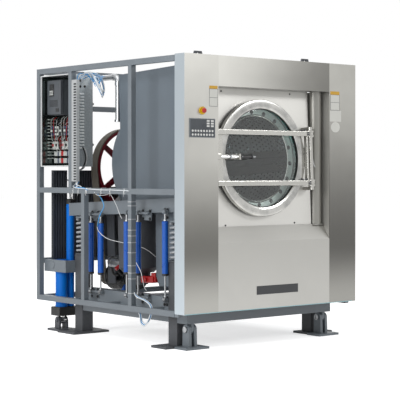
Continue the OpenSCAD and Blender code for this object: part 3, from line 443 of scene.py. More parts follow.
class Paint:
    """The finishes of the machine, one for each real material."""

    # Two-pack machine enamel sprayed on welded tube: orange peel of about 3 mm, satin.
    frame = Finish("Sprayed grey enamel", "656C72", "737A80", roughness=0.42)
    # The same enamel on the tub's wide plates, a little bluer under the hall's light.
    tub = Finish("Sprayed blue-grey enamel", "59626A", "656F77", roughness=0.42, patch_mm=700)
    floor_plate = Finish("Dark primer on plate", "3C3E42", "55575A", roughness=0.6, patch_mm=90)
    dark = Finish("Dark grey enamel", "3E4146", "4C5056", roughness=0.5)
    guard = Finish("Dark enamel on folded sheet", "35383D", "454950", roughness=0.45)
    # Cold-rolled 304 sheet ground with a 240 belt: lines 0.4 mm apart, drawn 2 mm apart to show.
    # The low colours are painted shade, darkest at low_mm and gone by high_mm: low on the columns, at the right on
    # the header, faint on the apron.
    column = FilmedSteel("Brushed stainless sheet with film", "AEADA8", "B9B8B3", low="6B6A66", low_mm=850,
                         high_mm=1750)
    flank = BrushedSteel("Brushed stainless right sheet", "9B9A95", "A9A8A3", low="5C5B58", low_mm=850,
                         high_mm=2250)
    sheet = BrushedSteel("Brushed stainless apron", "B2B1AD", "A2A19D", grain_mm=(300.0, 1.2, 1.2), low="A5A4A0")
    header = BrushedSteel("Brushed stainless header", "B4B3AE", "BEBDB8", grain_mm=(300.0, 1.2, 1.2),
                          low="6F6E6A", low_mm=760, high_mm=-700, rise_mm=-9000, along="X")
    panel = Finish("Bead-blasted stainless sheet", "BBBAB6", "C5C4C0", 0.9, 0.44,
                   grain_mm=(2.0, 2.0, 2.0), relief=0.06, patch_mm=900)
    # Turned and polished stainless, with faint turning lines.
    polished = Finish("Polished stainless", "B4B3AF", "9A9995", 1.0, 0.16,
                      grain_mm=(2.0, 2.0, 2.0), relief=0.03, patch_mm=180, sheen=0.07)
    satin = Finish("Satin stainless bar", "B5B4AF", "9C9B96", 1.0, 0.26,
                   grain_mm=(60.0, 2.0, 2.0), relief=0.06, patch_mm=120)
    chrome = Finish("Hard chrome", "E2E2E2", "D2D2D4", 1.0, 0.09, relief=0.01, sheen=0.03)
    zinc = Finish("Zinc-plated steel", "A9ABAD", "8E9092", 1.0, 0.33, patch_mm=14, relief=0.1)
    drum = Finish("Rolled stainless drum sheet", "B8BCBD", "6A6E70", 0.9, 0.3,
                  relief=0.0, patch_mm=420, drift=1.0, sheen=0.1)
    # Rib, back and mouth are the drum's stainless: the rib's and back's darker colours are painted shade deep in
    # the drum, and the mouth's near-white, mostly non-metal colour is a painted reflection of the polished ring.
    lifter = Finish("Folded stainless rib", "6A6A68", "7E7E7C", 0.9, 0.3, relief=0.0, patch_mm=300)
    back = Finish("Stainless drum back", "8A8F92", "4A4F52", 0.95, 0.28, relief=0.0, patch_mm=380, drift=1.0)
    mouth = Finish("Polished stainless mouth", "ECECE8", "D2D3D1", 0.2, 0.32, relief=0.0, patch_mm=120)
    # Dark glossy sheet on the cabinet's inner walls: its dark colour is painted shade of the cabinet's inside.
    lining = Finish("Cabinet's polished lining", "565E5C", "7C8785", 0.95, 0.13, relief=0.02, patch_mm=300,
                    drift=1.0)
    comb = Finish("Grey wiring comb", "8C928E", "6F7673", roughness=0.5, patch_mm=90)
    # Near-white louvres: a painted highlight on the lips pressed from the galvanised cabinet sheet.
    bright = Finish("Bright pressed edges", "ECEFEE", "D2D8D6", 0.2, 0.3, patch_mm=90)
    tube = Finish("Rolled stainless half tube", "8B8A85", "77766F", 0.8, 0.36, relief=0.0, patch_mm=600)
    dull = Finish("Dull stainless wall", "A9A8A3", "8F8E8A", 0.45, 0.45, relief=0.05, patch_mm=600)
    teal = PrimedSteel("Collar half in teal primer", "8C8F8E", "4A4D4D", 0.85, 0.28, patch_mm=160, drift=1.0)
    cast = Finish("Painted grey cast iron", "45474B", "54565A", roughness=0.6, grain_mm=(4, 4, 4), relief=0.35)
    pulley = Finish("Maroon enamel on cast iron", "6E1220", "52101A", roughness=0.38, relief=0.25, patch_mm=120)
    belt = Finish("Dusty rubber belt", "625D54", "736D62", roughness=0.72, grain_mm=(2, 2, 2), relief=0.3,
                  patch_mm=80)
    rubber = Finish("Black moulded rubber", "161616", "222222", roughness=0.55, relief=0.15, patch_mm=60)
    motor = Finish("Black motor enamel", "17181A", "26282A", roughness=0.36, relief=0.2, patch_mm=90)
    blue = Finish("Blue cylinder enamel", "0068C8", "0B74D0", roughness=0.42, patch_mm=150, gloss=0.2)
    royal = Finish("Royal blue damper enamel", "0F4FA6", "1A5CB4", roughness=0.32, patch_mm=60, gloss=0.4)
    spring = Finish("Grey powder-coated spring steel", "9A9DA0", "84878A", roughness=0.42, patch_mm=30)
    # Zinc-dipped sheet of the cabinet's outside: spangle of about 15 mm.
    pale_steel = Finish("Galvanised sheet", "C0C6C8", "8A9194", 0.35, 0.45, patch_mm=15, relief=0.05)
    case = Finish("Moulded graphite ABS", "44484D", "4E5358", roughness=0.5, grain_mm=(1, 1, 1), relief=0.2)
    pale_case = Finish("Moulded pale grey ABS", "B9BCB9", "A7AAA8", roughness=0.5, grain_mm=(1, 1, 1), relief=0.2)
    duct = Finish("Extruded grey PVC", "A9ACAD", "999C9E", roughness=0.5, relief=0.05)
    slot = Finish("Shadowed duct inside", "1B1C1E", "26272A", roughness=0.8)
    bezel = Finish("Printed keypad film", "6F757A", "666B70", roughness=0.35, relief=0.03)
    screen = Finish("Switched-off display", "2B3136", "353C41", roughness=0.12, relief=0.0)
    key = Finish("White membrane key", "D8D9D6", "C9CAC8", roughness=0.4, relief=0.05)
    yellow = Finish("Yellow moulded ABS", "D8B21C", "C9A318", roughness=0.35, relief=0.05)
    red = Finish("Red moulded ABS", "B01A1C", "9A1518", roughness=0.3, relief=0.05)
    white = Finish("White PVC", "DADCDC", "CBCDCD", roughness=0.4, relief=0.05)
    pale_wire = Finish("White wire sheath", "D3D8DB", "BEC6CB", roughness=0.4, relief=0.05)
    blue_wire = Finish("Blue air hose", "3A8AC6", "66A9D6", roughness=0.35, relief=0.03)
    label_white = Finish("White printed label", "CFCFC9", "C4C4BE", roughness=0.45, relief=0.02)
    label_yellow = Finish("Yellow printed band", "C99B26", "BD8F1E", roughness=0.45, relief=0.02)
    label_dark = Finish("Dark anodised plate", "26282B", "303236", roughness=0.35, relief=0.03)
    ring = Finish("Polished stainless ring", "C2C1BD", "7A7B7A", 1.0, 0.2,
                  grain_mm=(2.0, 2.0, 2.0), relief=0.03, patch_mm=150, sheen=0.07, drift=0.9)
    # Near-black discs in the drum's perforations: painted shade seen through the holes.
    hole = Finish("Dark inside of a punched hole", "0C0D0E", "121314", roughness=0.9)
    film = Finish("Torn film edge", "9DC4C9", "86B2B8", roughness=0.35, relief=0.02)
    navy = Finish("Navy moulded nylon", "1C2A4A", "26365A", roughness=0.4)
    brown = Finish("Brown wire sheath", "5A3A28", "6A4632", roughness=0.5)
    film_dark = Finish("Dark printed film", "3C4146", "464B50", roughness=0.3, relief=0.03)
    glass = ClearGlass("Toughened glass", "F2F8F7", "EAF4F2", roughness=0.04)


# ---------------------------------------------------------------- mesh helpers


def placed(name: str, data: Any) -> bpy.types.Object:
    """Puts a new object in the scene.

    Args:
        name: its name.
        data: the mesh, camera or light that it shows.

    Returns:
        The object.
    """
    item = bpy.data.objects.new(name, data)
    bpy.context.scene.collection.objects.link(item)
    return item


def piece(name: str, mesh: bpy.types.Mesh, body: Body | None, *finishes: Finish) -> bpy.types.Object:
    """Puts a mesh in the scene as one piece that rides on a body.

    Args:
        name: the piece's name.
        mesh: its mesh, in metres and in the row frame.
        body: the body it moves with, or none.
        *finishes: its finishes, in the order of its material slots.

    Returns:
        The new object.
    """
    item = placed(name, mesh)
    mesh.materials.clear()
    for finish in finishes:
        mesh.materials.append(finish.build())
    if body:
        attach(item, body.value)
    log.info("%s: %d faces on %s", name, len(mesh.polygons), body.value if body else "two bodies")
    return item


def toward(axis: Coords, at: Coords) -> Matrix:
    """A place whose Z points along an axis.

    Args:
        axis: the direction that Z gets.
        at: the origin's place.

    Returns:
        The matrix.
    """
    turn = Vector(UP).rotation_difference(Vector(axis).normalized()).to_matrix().to_4x4()
    return Matrix.Translation(at) @ turn


@dataclass
class Shape:
    """A mesh under construction, in millimetres.

    Attributes:
        place: turns the shape's own coordinates into the row frame.
        work: the faces made so far.
    """

    place: Matrix = field(default_factory=lambda: Matrix.Identity(4))
    work: bmesh.types.BMesh = field(default_factory=bmesh.new)

    def _keep(self, verts: Iterable[Any], matrix: Matrix, slot: int, smooth: bool) -> None:
        """Moves new vertices into place and marks their faces.

        Args:
            verts: the new vertices.
            matrix: their place in the shape's own coordinates.
            slot: the material slot of their faces.
            smooth: whether their faces are shaded smooth.
        """
        verts = list(verts)
        bmesh.ops.transform(self.work, matrix=self.place @ matrix, verts=verts)
        for face in {f for v in verts for f in v.link_faces}:
            face.material_index = slot
            face.smooth = smooth

    def _band(self, rings: Sequence[list[Any]], sides: int) -> list[Any]:
        """Joins each ring of vertices to the next with faces.

        Args:
            rings: the rings, each with a vertex for every side, or with one at a pole.
            sides: faces round a ring.

        Returns:
            The new faces.
        """
        faces = []
        for one, two in zip(rings, rings[1:]):
            for k in range(sides):
                loop = [ring[n % len(ring)] for ring, n in ((one, k), (one, k + 1), (two, k + 1), (two, k))]
                faces.append(self.work.faces.new(list(dict.fromkeys(loop))))
        return faces

    def box(self, low: Coords, high: Coords, slot: int = 0, bevel: float = 0.0,
            steps: int = 2) -> "Shape":
        """Adds a box between two corners.

        Args:
            low: its lowest corner.
            high: its highest corner.
            slot: material slot of its faces.
            bevel: radius of its edges.
            steps: faces across each rounded edge.

        Returns:
            This shape.
        """
        size = [h - l for l, h in zip(low, high)]
        middle = [(h + l) / 2 for l, h in zip(low, high)]
        made = bmesh.ops.create_cube(self.work, size=1.0)["verts"]
        bmesh.ops.scale(self.work, vec=size, verts=made)
        if bevel:
            edges = list({e for v in made for e in v.link_edges})
            result = bmesh.ops.bevel(self.work, geom=edges, offset=min(bevel, min(size) * 0.49),
                                     segments=steps, affect="EDGES", profile=0.5)
            made = result["verts"]
        self._keep(made, Matrix.Translation(middle), slot, False)
        return self

    def turned(self, outline: Outline, at: Coords, axis: Coords, sides: int = 48,
               closed: bool = False, sharp: float = 35.0) -> "Shape":
        """Adds a solid of revolution.

        Args:
            outline: pairs of radius and distance along the axis.
            at: the point of the axis at distance zero.
            axis: the axis's direction.
            sides: faces round it.
            closed: whether the outline is a ring, as of a tyre.
            sharp: edges bent by more degrees than this stay sharp.

        Returns:
            This shape.
        """
        rings = []
        for radius, along in outline:
            angles = [math.tau * k / sides for k in range(sides)] if radius > 0 else [0.0]
            rings.append([self.work.verts.new((radius * math.cos(a), radius * math.sin(a), along))
                          for a in angles])
        faces = self._band(rings + rings[:1] if closed else rings, sides)
        if not closed:
            for ring in (rings[0], rings[-1]):
                if len(ring) > 1:
                    faces.append(self.work.faces.new(ring))
        bmesh.ops.recalc_face_normals(self.work, faces=faces)
        verts = [v for ring in rings for v in ring]
        self._keep(verts, toward(axis, at), 0, True)
        limit = math.radians(sharp)
        for edge in {e for f in faces for e in f.edges}:
            edge.smooth = not (len(edge.link_faces) == 2 and edge.calc_face_angle(0) > limit)
        return self

    def rod(self, start: Coords, end: Coords, radius: float, sides: int = 20) -> "Shape":
        """Adds a round bar from one point to another.

        Args:
            start: middle of its first end.
            end: middle of its other end.
            radius: its radius.
            sides: faces round it.

        Returns:
            This shape.
        """
        axis = Vector(end) - Vector(start)
        return self.disc(radius, axis.length, start, axis, sides)

    def prism(self, outline: Sequence[Coords], depth: Coords) -> "Shape":
        """Adds a flat outline pushed along a vector.

        Args:
            outline: corners of the outline.
            depth: the push.

        Returns:
            This shape.
        """
        push = Vector(depth)
        low = [self.work.verts.new(Vector(p)) for p in outline]
        high = [self.work.verts.new(Vector(p) + push) for p in outline]
        count = len(low)
        faces = [self.work.faces.new(low), self.work.faces.new(high)]
        faces += [
            self.work.faces.new([low[k], low[(k + 1) % count], high[(k + 1) % count], high[k]])
            for k in range(count)
        ]
        bmesh.ops.recalc_face_normals(self.work, faces=faces)
        self._keep(low + high, Matrix.Identity(4), 0, False)
        return self

    def tube(self, path: Sequence[Coords], radius: float, sides: int = 10, steps: int = 6,
             slot: int = 0) -> "Shape":
        """Adds a round tube along a smooth line through points.

        Args:
            path: points that the line passes.
            radius: the tube's radius.
            sides: faces round it.
            steps: points of the line between two given ones.
            slot: material slot of its faces.

        Returns:
            This shape.
        """
        line = smooth_line(path, steps)
        up = Vector(UP)
        first = (line[1] - line[0]).normalized()
        if abs(first.dot(up)) > 0.9:
            up = Vector(BACKWARD)
        side = first.cross(up).normalized()
        rings = []
        for point, one, two in carried(line, side):
            rings.append([
                self.work.verts.new(point + radius * (math.cos(a) * one + math.sin(a) * two))
                for a in (math.tau * n / sides for n in range(sides))
            ])
        faces = self._band(rings, sides)
        faces += [self.work.faces.new(rings[0]), self.work.faces.new(rings[-1])]
        bmesh.ops.recalc_face_normals(self.work, faces=faces)
        self._keep([v for r in rings for v in r], Matrix.Identity(4), slot, True)
        for ring in (rings[0], rings[-1]):
            for vert in ring:
                for edge in vert.link_edges:
                    if edge.calc_face_angle(0) > 1.0:
                        edge.smooth = False
        return self

    def disc(self, radius: float, height: float, at: Coords, axis: Coords, sides: int = 20,
             sharp: float = 35.0) -> "Shape":
        """Adds a plain disc, or a nut where it has six sides.

        Args:
            radius: its radius, over the corners of a nut.
            height: its thickness.
            at: the middle of the face that it stands on.
            axis: the direction in which it stands.
            sides: faces round it.
            sharp: edges bent by more degrees than this stay sharp.

        Returns:
            This shape.
        """
        return self.turned([(0, 0), (radius, 0), (radius, height), (0, height)], at, axis, sides, sharp=sharp)

    def collar(self, inner: float, outer: float, low: float, high: float, at: Coords, axis: Coords,
               sides: int = 24, sharp: float = 35.0) -> "Shape":
        """Adds a plain ring.

        Args:
            inner: radius of its hole.
            outer: its outer radius.
            low: distance along the axis at which it starts.
            high: distance along the axis at which it ends.
            at: the point of the axis at distance zero.
            axis: the axis's direction.
            sides: faces round it.
            sharp: edges bent by more degrees than this stay sharp.

        Returns:
            This shape.
        """
        outline = [(inner, low), (outer, low), (outer, high), (inner, high)]
        return self.turned(outline, at, axis, sides, True, sharp)

    def piece(self, name: str, body: Body | None, *finishes: Finish,
              stands_for: tuple[str, str] | None = None) -> bpy.types.Object:
        """Ends the shape and puts it in the scene as one piece.

        Args:
            name: the piece's name.
            body: the body it moves with, or none.
            *finishes: its finishes, in the order of its material slots.
            stands_for: the CAD node that it replaces and that node's material slot.

        Returns:
            The new object.
        """
        item = piece(name, self.mesh(name), body, *finishes)
        if stands_for:
            node, slot = stands_for
            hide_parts(node)
        return item

    def mesh(self, name: str) -> bpy.types.Mesh:
        """Ends the shape.

        Args:
            name: the mesh's name.

        Returns:
            Its mesh, scaled to metres.
        """
        bmesh.ops.scale(self.work, vec=(MM, MM, MM), verts=self.work.verts[:])
        done = bpy.data.meshes.new(name)
        self.work.to_mesh(done)
        self.work.free()
        return done


def smooth_line(path: Sequence[Coords], steps: int) -> list[Vector]:
    """A Catmull-Rom line through points.

    Args:
        path: points that the line passes.
        steps: points of the line between two given ones.

    Returns:
        The points of the line.
    """
    points = [Vector(p) for p in path]
    if len(points) < 3 or steps < 2:
        return points
    ends = [points[0] * 2 - points[1], *points, points[-1] * 2 - points[-2]]
    line = []
    for k in range(1, len(ends) - 2):
        a, b, c, d = ends[k - 1 : k + 3]
        for n in range(steps):
            t = n / steps
            line.append(0.5 * ((2 * b) + (c - a) * t + (2 * a - 5 * b + 4 * c - d) * t * t
                               + (3 * b - a - 3 * c + d) * t ** 3))
    line.append(points[-1])
    return line


def carried(line: Sequence[Vector], side: Vector) -> Iterator[tuple[Vector, Vector, Vector]]:
    """Carries two directions across a line along it, without a twist.

    Args:
        line: the line's points.
        side: the first direction, before it is squared to the line.

    Yields:
        Each point and its two directions.
    """
    for k, point in enumerate(line):
        ahead = (line[min(k + 1, len(line) - 1)] - line[max(k - 1, 0)]).normalized()
        side = (side - ahead * side.dot(ahead)).normalized()
        yield point, side, ahead.cross(side)


# ---------------------------------------------------------------- repeats


class Layout(Enum):
    """How copies of a small shape are set out."""

    WRAPPED = "rows round an axis"
    ROWS = "rows and columns on a plane"
    PLACES = "given places"


@dataclass
class Repeat:
    """Copies of one small shape, set out by Geometry Nodes and made one plain mesh.

    Attributes:
        unit: the shape that is copied, round its own origin, in millimetres.
        layout: how the copies are set out.
        across: copies in a row.
        rows: number of rows.
        radius: radius of the rows of a wrapped layout.
        step: distance between copies across, and between rows.
        twist: turn of each row against the last, in radians.
        start: turn of the whole set, in radians.
        places: the places of the PLACES layout.
        place: turns the set's coordinates into the row frame.
    """

    unit: Shape
    layout: Layout = Layout.PLACES
    across: int = 1
    rows: int = 1
    radius: float = 0.0
    step: tuple[float, float] = (0.0, 0.0)
    twist: float = 0.0
    start: float = 0.0
    places: Sequence[Point] = ()
    place: Matrix = field(default_factory=lambda: Matrix.Identity(4))

    def tree(self, name: str) -> tuple[Tree, dict[str, str]]:
        """Builds the node tree.

        Args:
            name: the tree's name.

        Returns:
            The tree, and the identifier of each named input.
        """
        tree = bpy.data.node_groups.new(name, "GeometryNodeTree")
        keys = {}
        kinds = {
            "Geometry": "Geometry", "Shape": "Object", "Across": "Int", "Rows": "Int", "Radius": "Float",
            "Step across": "Float", "Step of rows": "Float", "Twist": "Float", "Start": "Float",
            "Finish": "Material",
        }
        for label, kind in kinds.items():
            keys[label] = tree.interface.new_socket(label, in_out="INPUT",
                                                    socket_type="NodeSocket" + kind).identifier
        tree.interface.new_socket("Geometry", in_out="OUTPUT", socket_type="NodeSocketGeometry")
        given = tree.nodes.new("NodeGroupInput").outputs
        turn: Any = (0.0, 0.0, 0.0)
        if self.layout is Layout.PLACES:
            points = given["Geometry"]
        else:
            index = add(tree, "GeometryNodeInputIndex").outputs[0]
            column = combined(tree, "MODULO", index, given["Across"])
            row = combined(tree, "FLOOR", combined(tree, "DIVIDE", index, given["Across"]))
            if self.layout is Layout.WRAPPED:
                share = combined(tree, "DIVIDE", column, given["Across"])
                angle = combined(tree, "MULTIPLY_ADD", share, math.tau, given["Start"])
                angle = combined(tree, "MULTIPLY_ADD", row, given["Twist"], angle)
                spot = {
                    0: combined(tree, "MULTIPLY", combined(tree, "COSINE", angle), given["Radius"]),
                    1: combined(tree, "MULTIPLY", combined(tree, "SINE", angle), given["Radius"]),
                    2: combined(tree, "MULTIPLY", row, given["Step of rows"]),
                }
                turn = add(tree, "ShaderNodeCombineXYZ", {2: angle}).outputs[0]
            else:
                spot = {0: combined(tree, "MULTIPLY", column, given["Step across"]),
                        1: combined(tree, "MULTIPLY", row, given["Step of rows"])}
            total = combined(tree, "MULTIPLY", given["Across"], given["Rows"])
            line = add(tree, "GeometryNodeMeshLine", {"Count": total})
            where = add(tree, "ShaderNodeCombineXYZ", spot).outputs[0]
            points = add(tree, "GeometryNodeSetPosition",
                         {"Geometry": line.outputs[0], "Position": where}).outputs[0]
        shape = add(tree, "GeometryNodeObjectInfo", {"Object": given["Shape"]}).outputs["Geometry"]
        copies = add(tree, "GeometryNodeInstanceOnPoints", {"Points": points, "Instance": shape, "Rotation": turn})
        real = add(tree, "GeometryNodeRealizeInstances", {0: copies.outputs[0]})
        dressed = add(tree, "GeometryNodeSetMaterial", {"Geometry": real.outputs[0], "Material": given["Finish"]})
        add(tree, "NodeGroupOutput", {0: dressed.outputs[0]})
        return tree, keys

    def mesh(self, name: str, finish: Finish) -> bpy.types.Mesh:
        """Sets the copies out and returns them as a plain mesh, in metres and in the row frame.

        Args:
            name: the mesh's name.
            finish: the copies' finish.

        Returns:
            The mesh.
        """
        unit = placed(name + "_unit", self.unit.mesh(name + "_unit"))
        base = bpy.data.meshes.new(name + "_base")
        base.from_pydata([Vector(p) * MM for p in self.places], [], [])
        carrier = placed(name + "_carrier", base)
        tree, keys = self.tree(name)
        modifier = carrier.modifiers.new("Repeat", "NODES")
        modifier.node_group = tree
        values = {
            "Shape": unit, "Across": self.across, "Rows": self.rows, "Radius": self.radius * MM,
            "Step across": self.step[0] * MM, "Step of rows": self.step[1] * MM, "Twist": self.twist,
            "Start": self.start, "Finish": finish.build(),
        }
        for label, value in values.items():
            modifier[keys[label]] = value
        bpy.context.view_layer.update()
        graph = bpy.context.evaluated_depsgraph_get()
        done = bpy.data.meshes.new_from_object(carrier.evaluated_get(graph))
        done.name = name
        carrier.modifiers.clear()
        place = self.place.copy()
        place.translation *= MM
        done.transform(place)
        for item in (carrier, unit):
            data = item.data
            bpy.data.objects.remove(item)
            bpy.data.meshes.remove(data)
        bpy.data.node_groups.remove(tree)
        return done

    def piece(self, name: str, body: Body, finish: Finish) -> bpy.types.Object:
        """Sets the copies out as one piece that rides on a body.

        Args:
            name: the piece's name.
            body: the body it moves with.
            finish: its finish.

        Returns:
            The new object.
        """
        return piece(name, self.mesh(name, finish), body, finish)


# ---------------------------------------------------------------- places shared by the sub-assemblies

PANEL_Y, DRUM_X, DRUM_Z = -1004.0, -85.0, 1634.0
PITCHED = Matrix.Translation((0, PANEL_Y, DRUM_Z)) @ Matrix.Rotation(math.radians(-2.5), 4, "X")
ON_DRUM = PITCHED @ Matrix.Translation((DRUM_X, 0, 0))


def evenly(count: int, first: float, step: float) -> list[float]:
    """Evenly spaced places along a line.

    Args:
        count: how many there are.
        first: the first place.
        step: distance from one to the next.

    Returns:
        The places.
    """
    return [first + k * step for k in range(count)]


def bolt_head(size: float, washer: bool = True) -> Shape:
    """A hexagon head on its washer, standing up from the origin.

    Args:
        size: width across the head's corners.
        washer: whether a washer lies under it.

    Returns:
        The shape.
    """
    shape = Shape()
    low = 0.0
    if washer:
        low = size * 0.12
        shape.disc(size * 0.92, low, ORIGIN, UP, 16)
    top = low + size * 0.55
    shape.turned([(0, low), (size / 2, low), (size / 2, top - size * 0.06), (size * 0.42, top), (0, top)],
                 ORIGIN, UP, 6, sharp=20)
    return shape


# ---------------------------------------------------------------- CAD nodes that stay


class Dressing:
    """Gives each CAD node that stays in view its finish."""

    finishes: dict[Finish, tuple[str, ...]] = {
        Paint.frame: ("base_beams", "side_frames", "rear_frame", "lower_damper_brackets", "cradle_frame",
                      "hinge_brackets", "upper_damper_brackets", "lift_brackets"),
        Paint.dark: ("lift_feet", "lifting_lugs", "motor_bracket"),
        Paint.floor_plate: ("foot_posts",),
        Paint.tub: ("tub_shell", "tub_casing", "tub_front_plate", "tub_back_plate"),
        Paint.zinc: ("hinge_pins", "bearings", "damper_rods", "water_pipe"),
        Paint.column: ("left_column",),
        Paint.flank: ("right_column",),
        Paint.sheet: ("apron_panel",),
        Paint.header: ("header_panel",),
        Paint.panel: ("front_panel",),
        Paint.guard: ("rear_guards",),
        Paint.pale_steel: ("electric_cabinet",),
        Paint.duct: ("cable_duct",),
        Paint.teal: ("tub_collar",),
        Paint.drum: ("drum_shell",),
        Paint.lifter: ("drum_lifters",),
        Paint.back: ("drum_spider",),
        Paint.mouth: ("drum_mouth",),
        Paint.satin: ("door_mounts",),
        Paint.cast: ("bearing_housing", "drain_valve"),
        Paint.motor: ("motor_body", "motor_pulley"),
        Paint.belt: ("drive_belts",),
        Paint.royal: ("damper_barrels",),
        Paint.blue: ("lift_barrels",),
        Paint.chrome: ("lift_rods",),
        Paint.yellow: ("estop_base",),
        Paint.red: ("estop_button",),
    }

    def apply(self, frame: dict[str, Any]) -> None:
        """Assigns the finishes.

        Args:
            frame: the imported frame.
        """
        for finish, nodes in self.finishes.items():
            for node in nodes:
                item = frame["nodes"][node]
                if not item.material_slots:
                    item.data.materials.append(finish.build())
                for place in item.material_slots:
                    place.material = finish.build()
            log.info("%s on %s", finish.name, ", ".join(nodes))


# ---------------------------------------------------------------- cords


@dataclass
class Cords:
    """The wiring loom over the cabinet and the lock's air hose, which both lie on their CAD solids.

    Attributes:
        loom: points that the loom's middle passes.
        hose: points that the air hose passes.
        loom_radius: radius of the whole bundle.
        hose_radius: radius of the air hose.
        turns: turns of the loom's strands round its middle.
        outer_strands: strands round the middle one.
        strand_share: radius of a strand as a share of the loom's.
    """

    loom: tuple[Point, ...] = (
        (-880, 587, 2374), (-880, 574, 2374), (-878, 553, 2396), (-874, 523, 2425), (-865, 480, 2435),
        (-850, 440, 2410), (-835, 405, 2354), (-815, 380, 2300), (-790, 375, 2264), (-760, 395, 2264),
        (-735, 425, 2300), (-715, 470, 2350), (-708, 520, 2402), (-722, 565, 2438), (-758, 607, 2452),
        (-800, 650, 2450))
    hose: tuple[Point, ...] = (
        (506.6, -1050, 1716), (515.5, -1056, 1702), (522.8, -1061, 1672), (528.5, -1064, 1635),
        (535.2, -1064, 1605), (546.6, -1061, 1580), (560.8, -1057, 1566), (575.2, -1045, 1560))
    loom_radius: float = 11.0
    hose_radius: float = 5.0
    turns: float = 2.5
    outer_strands: int = 6
    strand_share: float = 0.36

    def build(self) -> None:
        self.declare(self.strands(), self.loom, 2 * self.loom_radius, "wiring_loom", "cable_blue", Body.MACHINE)
        shape = Shape().tube(self.hose, self.hose_radius, sides=16)
        hose = shape.piece("lock_air_hose", Body.CRADLE, Paint.white)
        self.declare(hose, self.hose, 2 * self.hose_radius, "air_hose", "hose_white", Body.CRADLE)

    def strands(self) -> bpy.types.Object:
        """Winds the loom's thin white and blue hoses round a middle one.

        Returns:
            The loom's piece.
        """
        line = smooth_line(self.loom, 6)
        shape = Shape()
        thin = self.loom_radius * self.strand_share
        shape.tube(line, thin, 8, 1)
        frames = list(carried(line, Vector(RIGHT)))
        for strand in range(self.outer_strands):
            path = []
            for k, (point, one, two) in enumerate(frames):
                angle = math.tau * (strand / self.outer_strands + self.turns * k / len(frames))
                path.append(point + (self.loom_radius - thin) * (math.cos(angle) * one + math.sin(angle) * two))
            shape.tube(path, thin, 8, 1, slot=strand % 2)
        return shape.piece("wiring_strands", Body.MACHINE, Paint.pale_wire, Paint.blue_wire)

    @staticmethod
    def declare(item: bpy.types.Object, path: Sequence[Point], diameter: float, node: str, slot: str,
                body: Body) -> None:
        """Hides the CAD solid that one cord replaces.

        Args:
            item: the cord's piece; not used.
            path: points that its middle passes.
            diameter: its diameter; not used.
            node: the CAD node it replaces.
            slot: its material slot; not used.
            body: the body it rides on; not used.
        """
        line = [p * MM for p in smooth_line(path, 6)]
        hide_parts(node)


# ---------------------------------------------------------------- springs, dampers and lifts


@dataclass
class Springs:
    """The four coil springs between the foot posts and the sprung cradle.

    Attributes:
        side: distance of their axes from the middle.
        depths: Y of their axes.
        foot: height of their seats.
        top: height of the cradle's cups.
        mean: radius of the coil.
        wire: radius of the wire.
        turns: turns from end to end.
        sides: points of the wire's line in a turn.
        closed: share of the line in each closed end turn.
        slack: share of the height that a closed end turn takes.
    """

    side: float = 800.0
    depths: tuple[float, ...] = (-764.0, 655.0)
    foot: float = 750.0
    top: float = 1080.0
    mean: float = 65.0
    wire: float = 11.0
    turns: float = 7.5
    sides: int = 28
    closed: float = 0.08
    slack: float = 0.06

    def build(self) -> None:
        """Makes the springs between the machine and the cradle, and their seat cups."""
        springs, cups = Shape(), Shape()
        for x in (-self.side, self.side):
            for y in self.depths:
                springs.tube(self.coil(x, y), self.wire, 10, 1)
                cups.turned([(0, 0), (82, 0), (82, 5), (70, 5), (50, 8), (0, 8)], (x, y, self.foot - 6), UP, 40)
        item = springs.piece("springs", None, Paint.spring, stands_for=("coil_springs", "spring_paint"))
        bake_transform(item)
        cups.piece("spring_cups", Body.MACHINE, Paint.dark)

    def coil(self, x: float, y: float) -> list[Point]:
        """The wire's middle line, with a closed turn at each end.

        Args:
            x: X of the axis.
            y: Y of the axis.

        Returns:
            The line's points.
        """
        low, high = self.foot + self.wire + 0.5, self.top - self.wire - 0.5
        count, end = int(self.turns * self.sides), self.closed
        line = []
        for k in range(count + 1):
            t = k / count
            middle = min(max((t - end) / (1 - 2 * end), 0.0), 1.0)
            ends = min(t / end, 1.0) + max((t - 1 + end) / end, 0.0)
            rise = self.slack * ends + (1 - 2 * self.slack) * middle
            angle = math.tau * self.turns * t
            line.append((x + self.mean * math.cos(angle), y + self.mean * math.sin(angle),
                         low + (high - low) * rise))
        return line


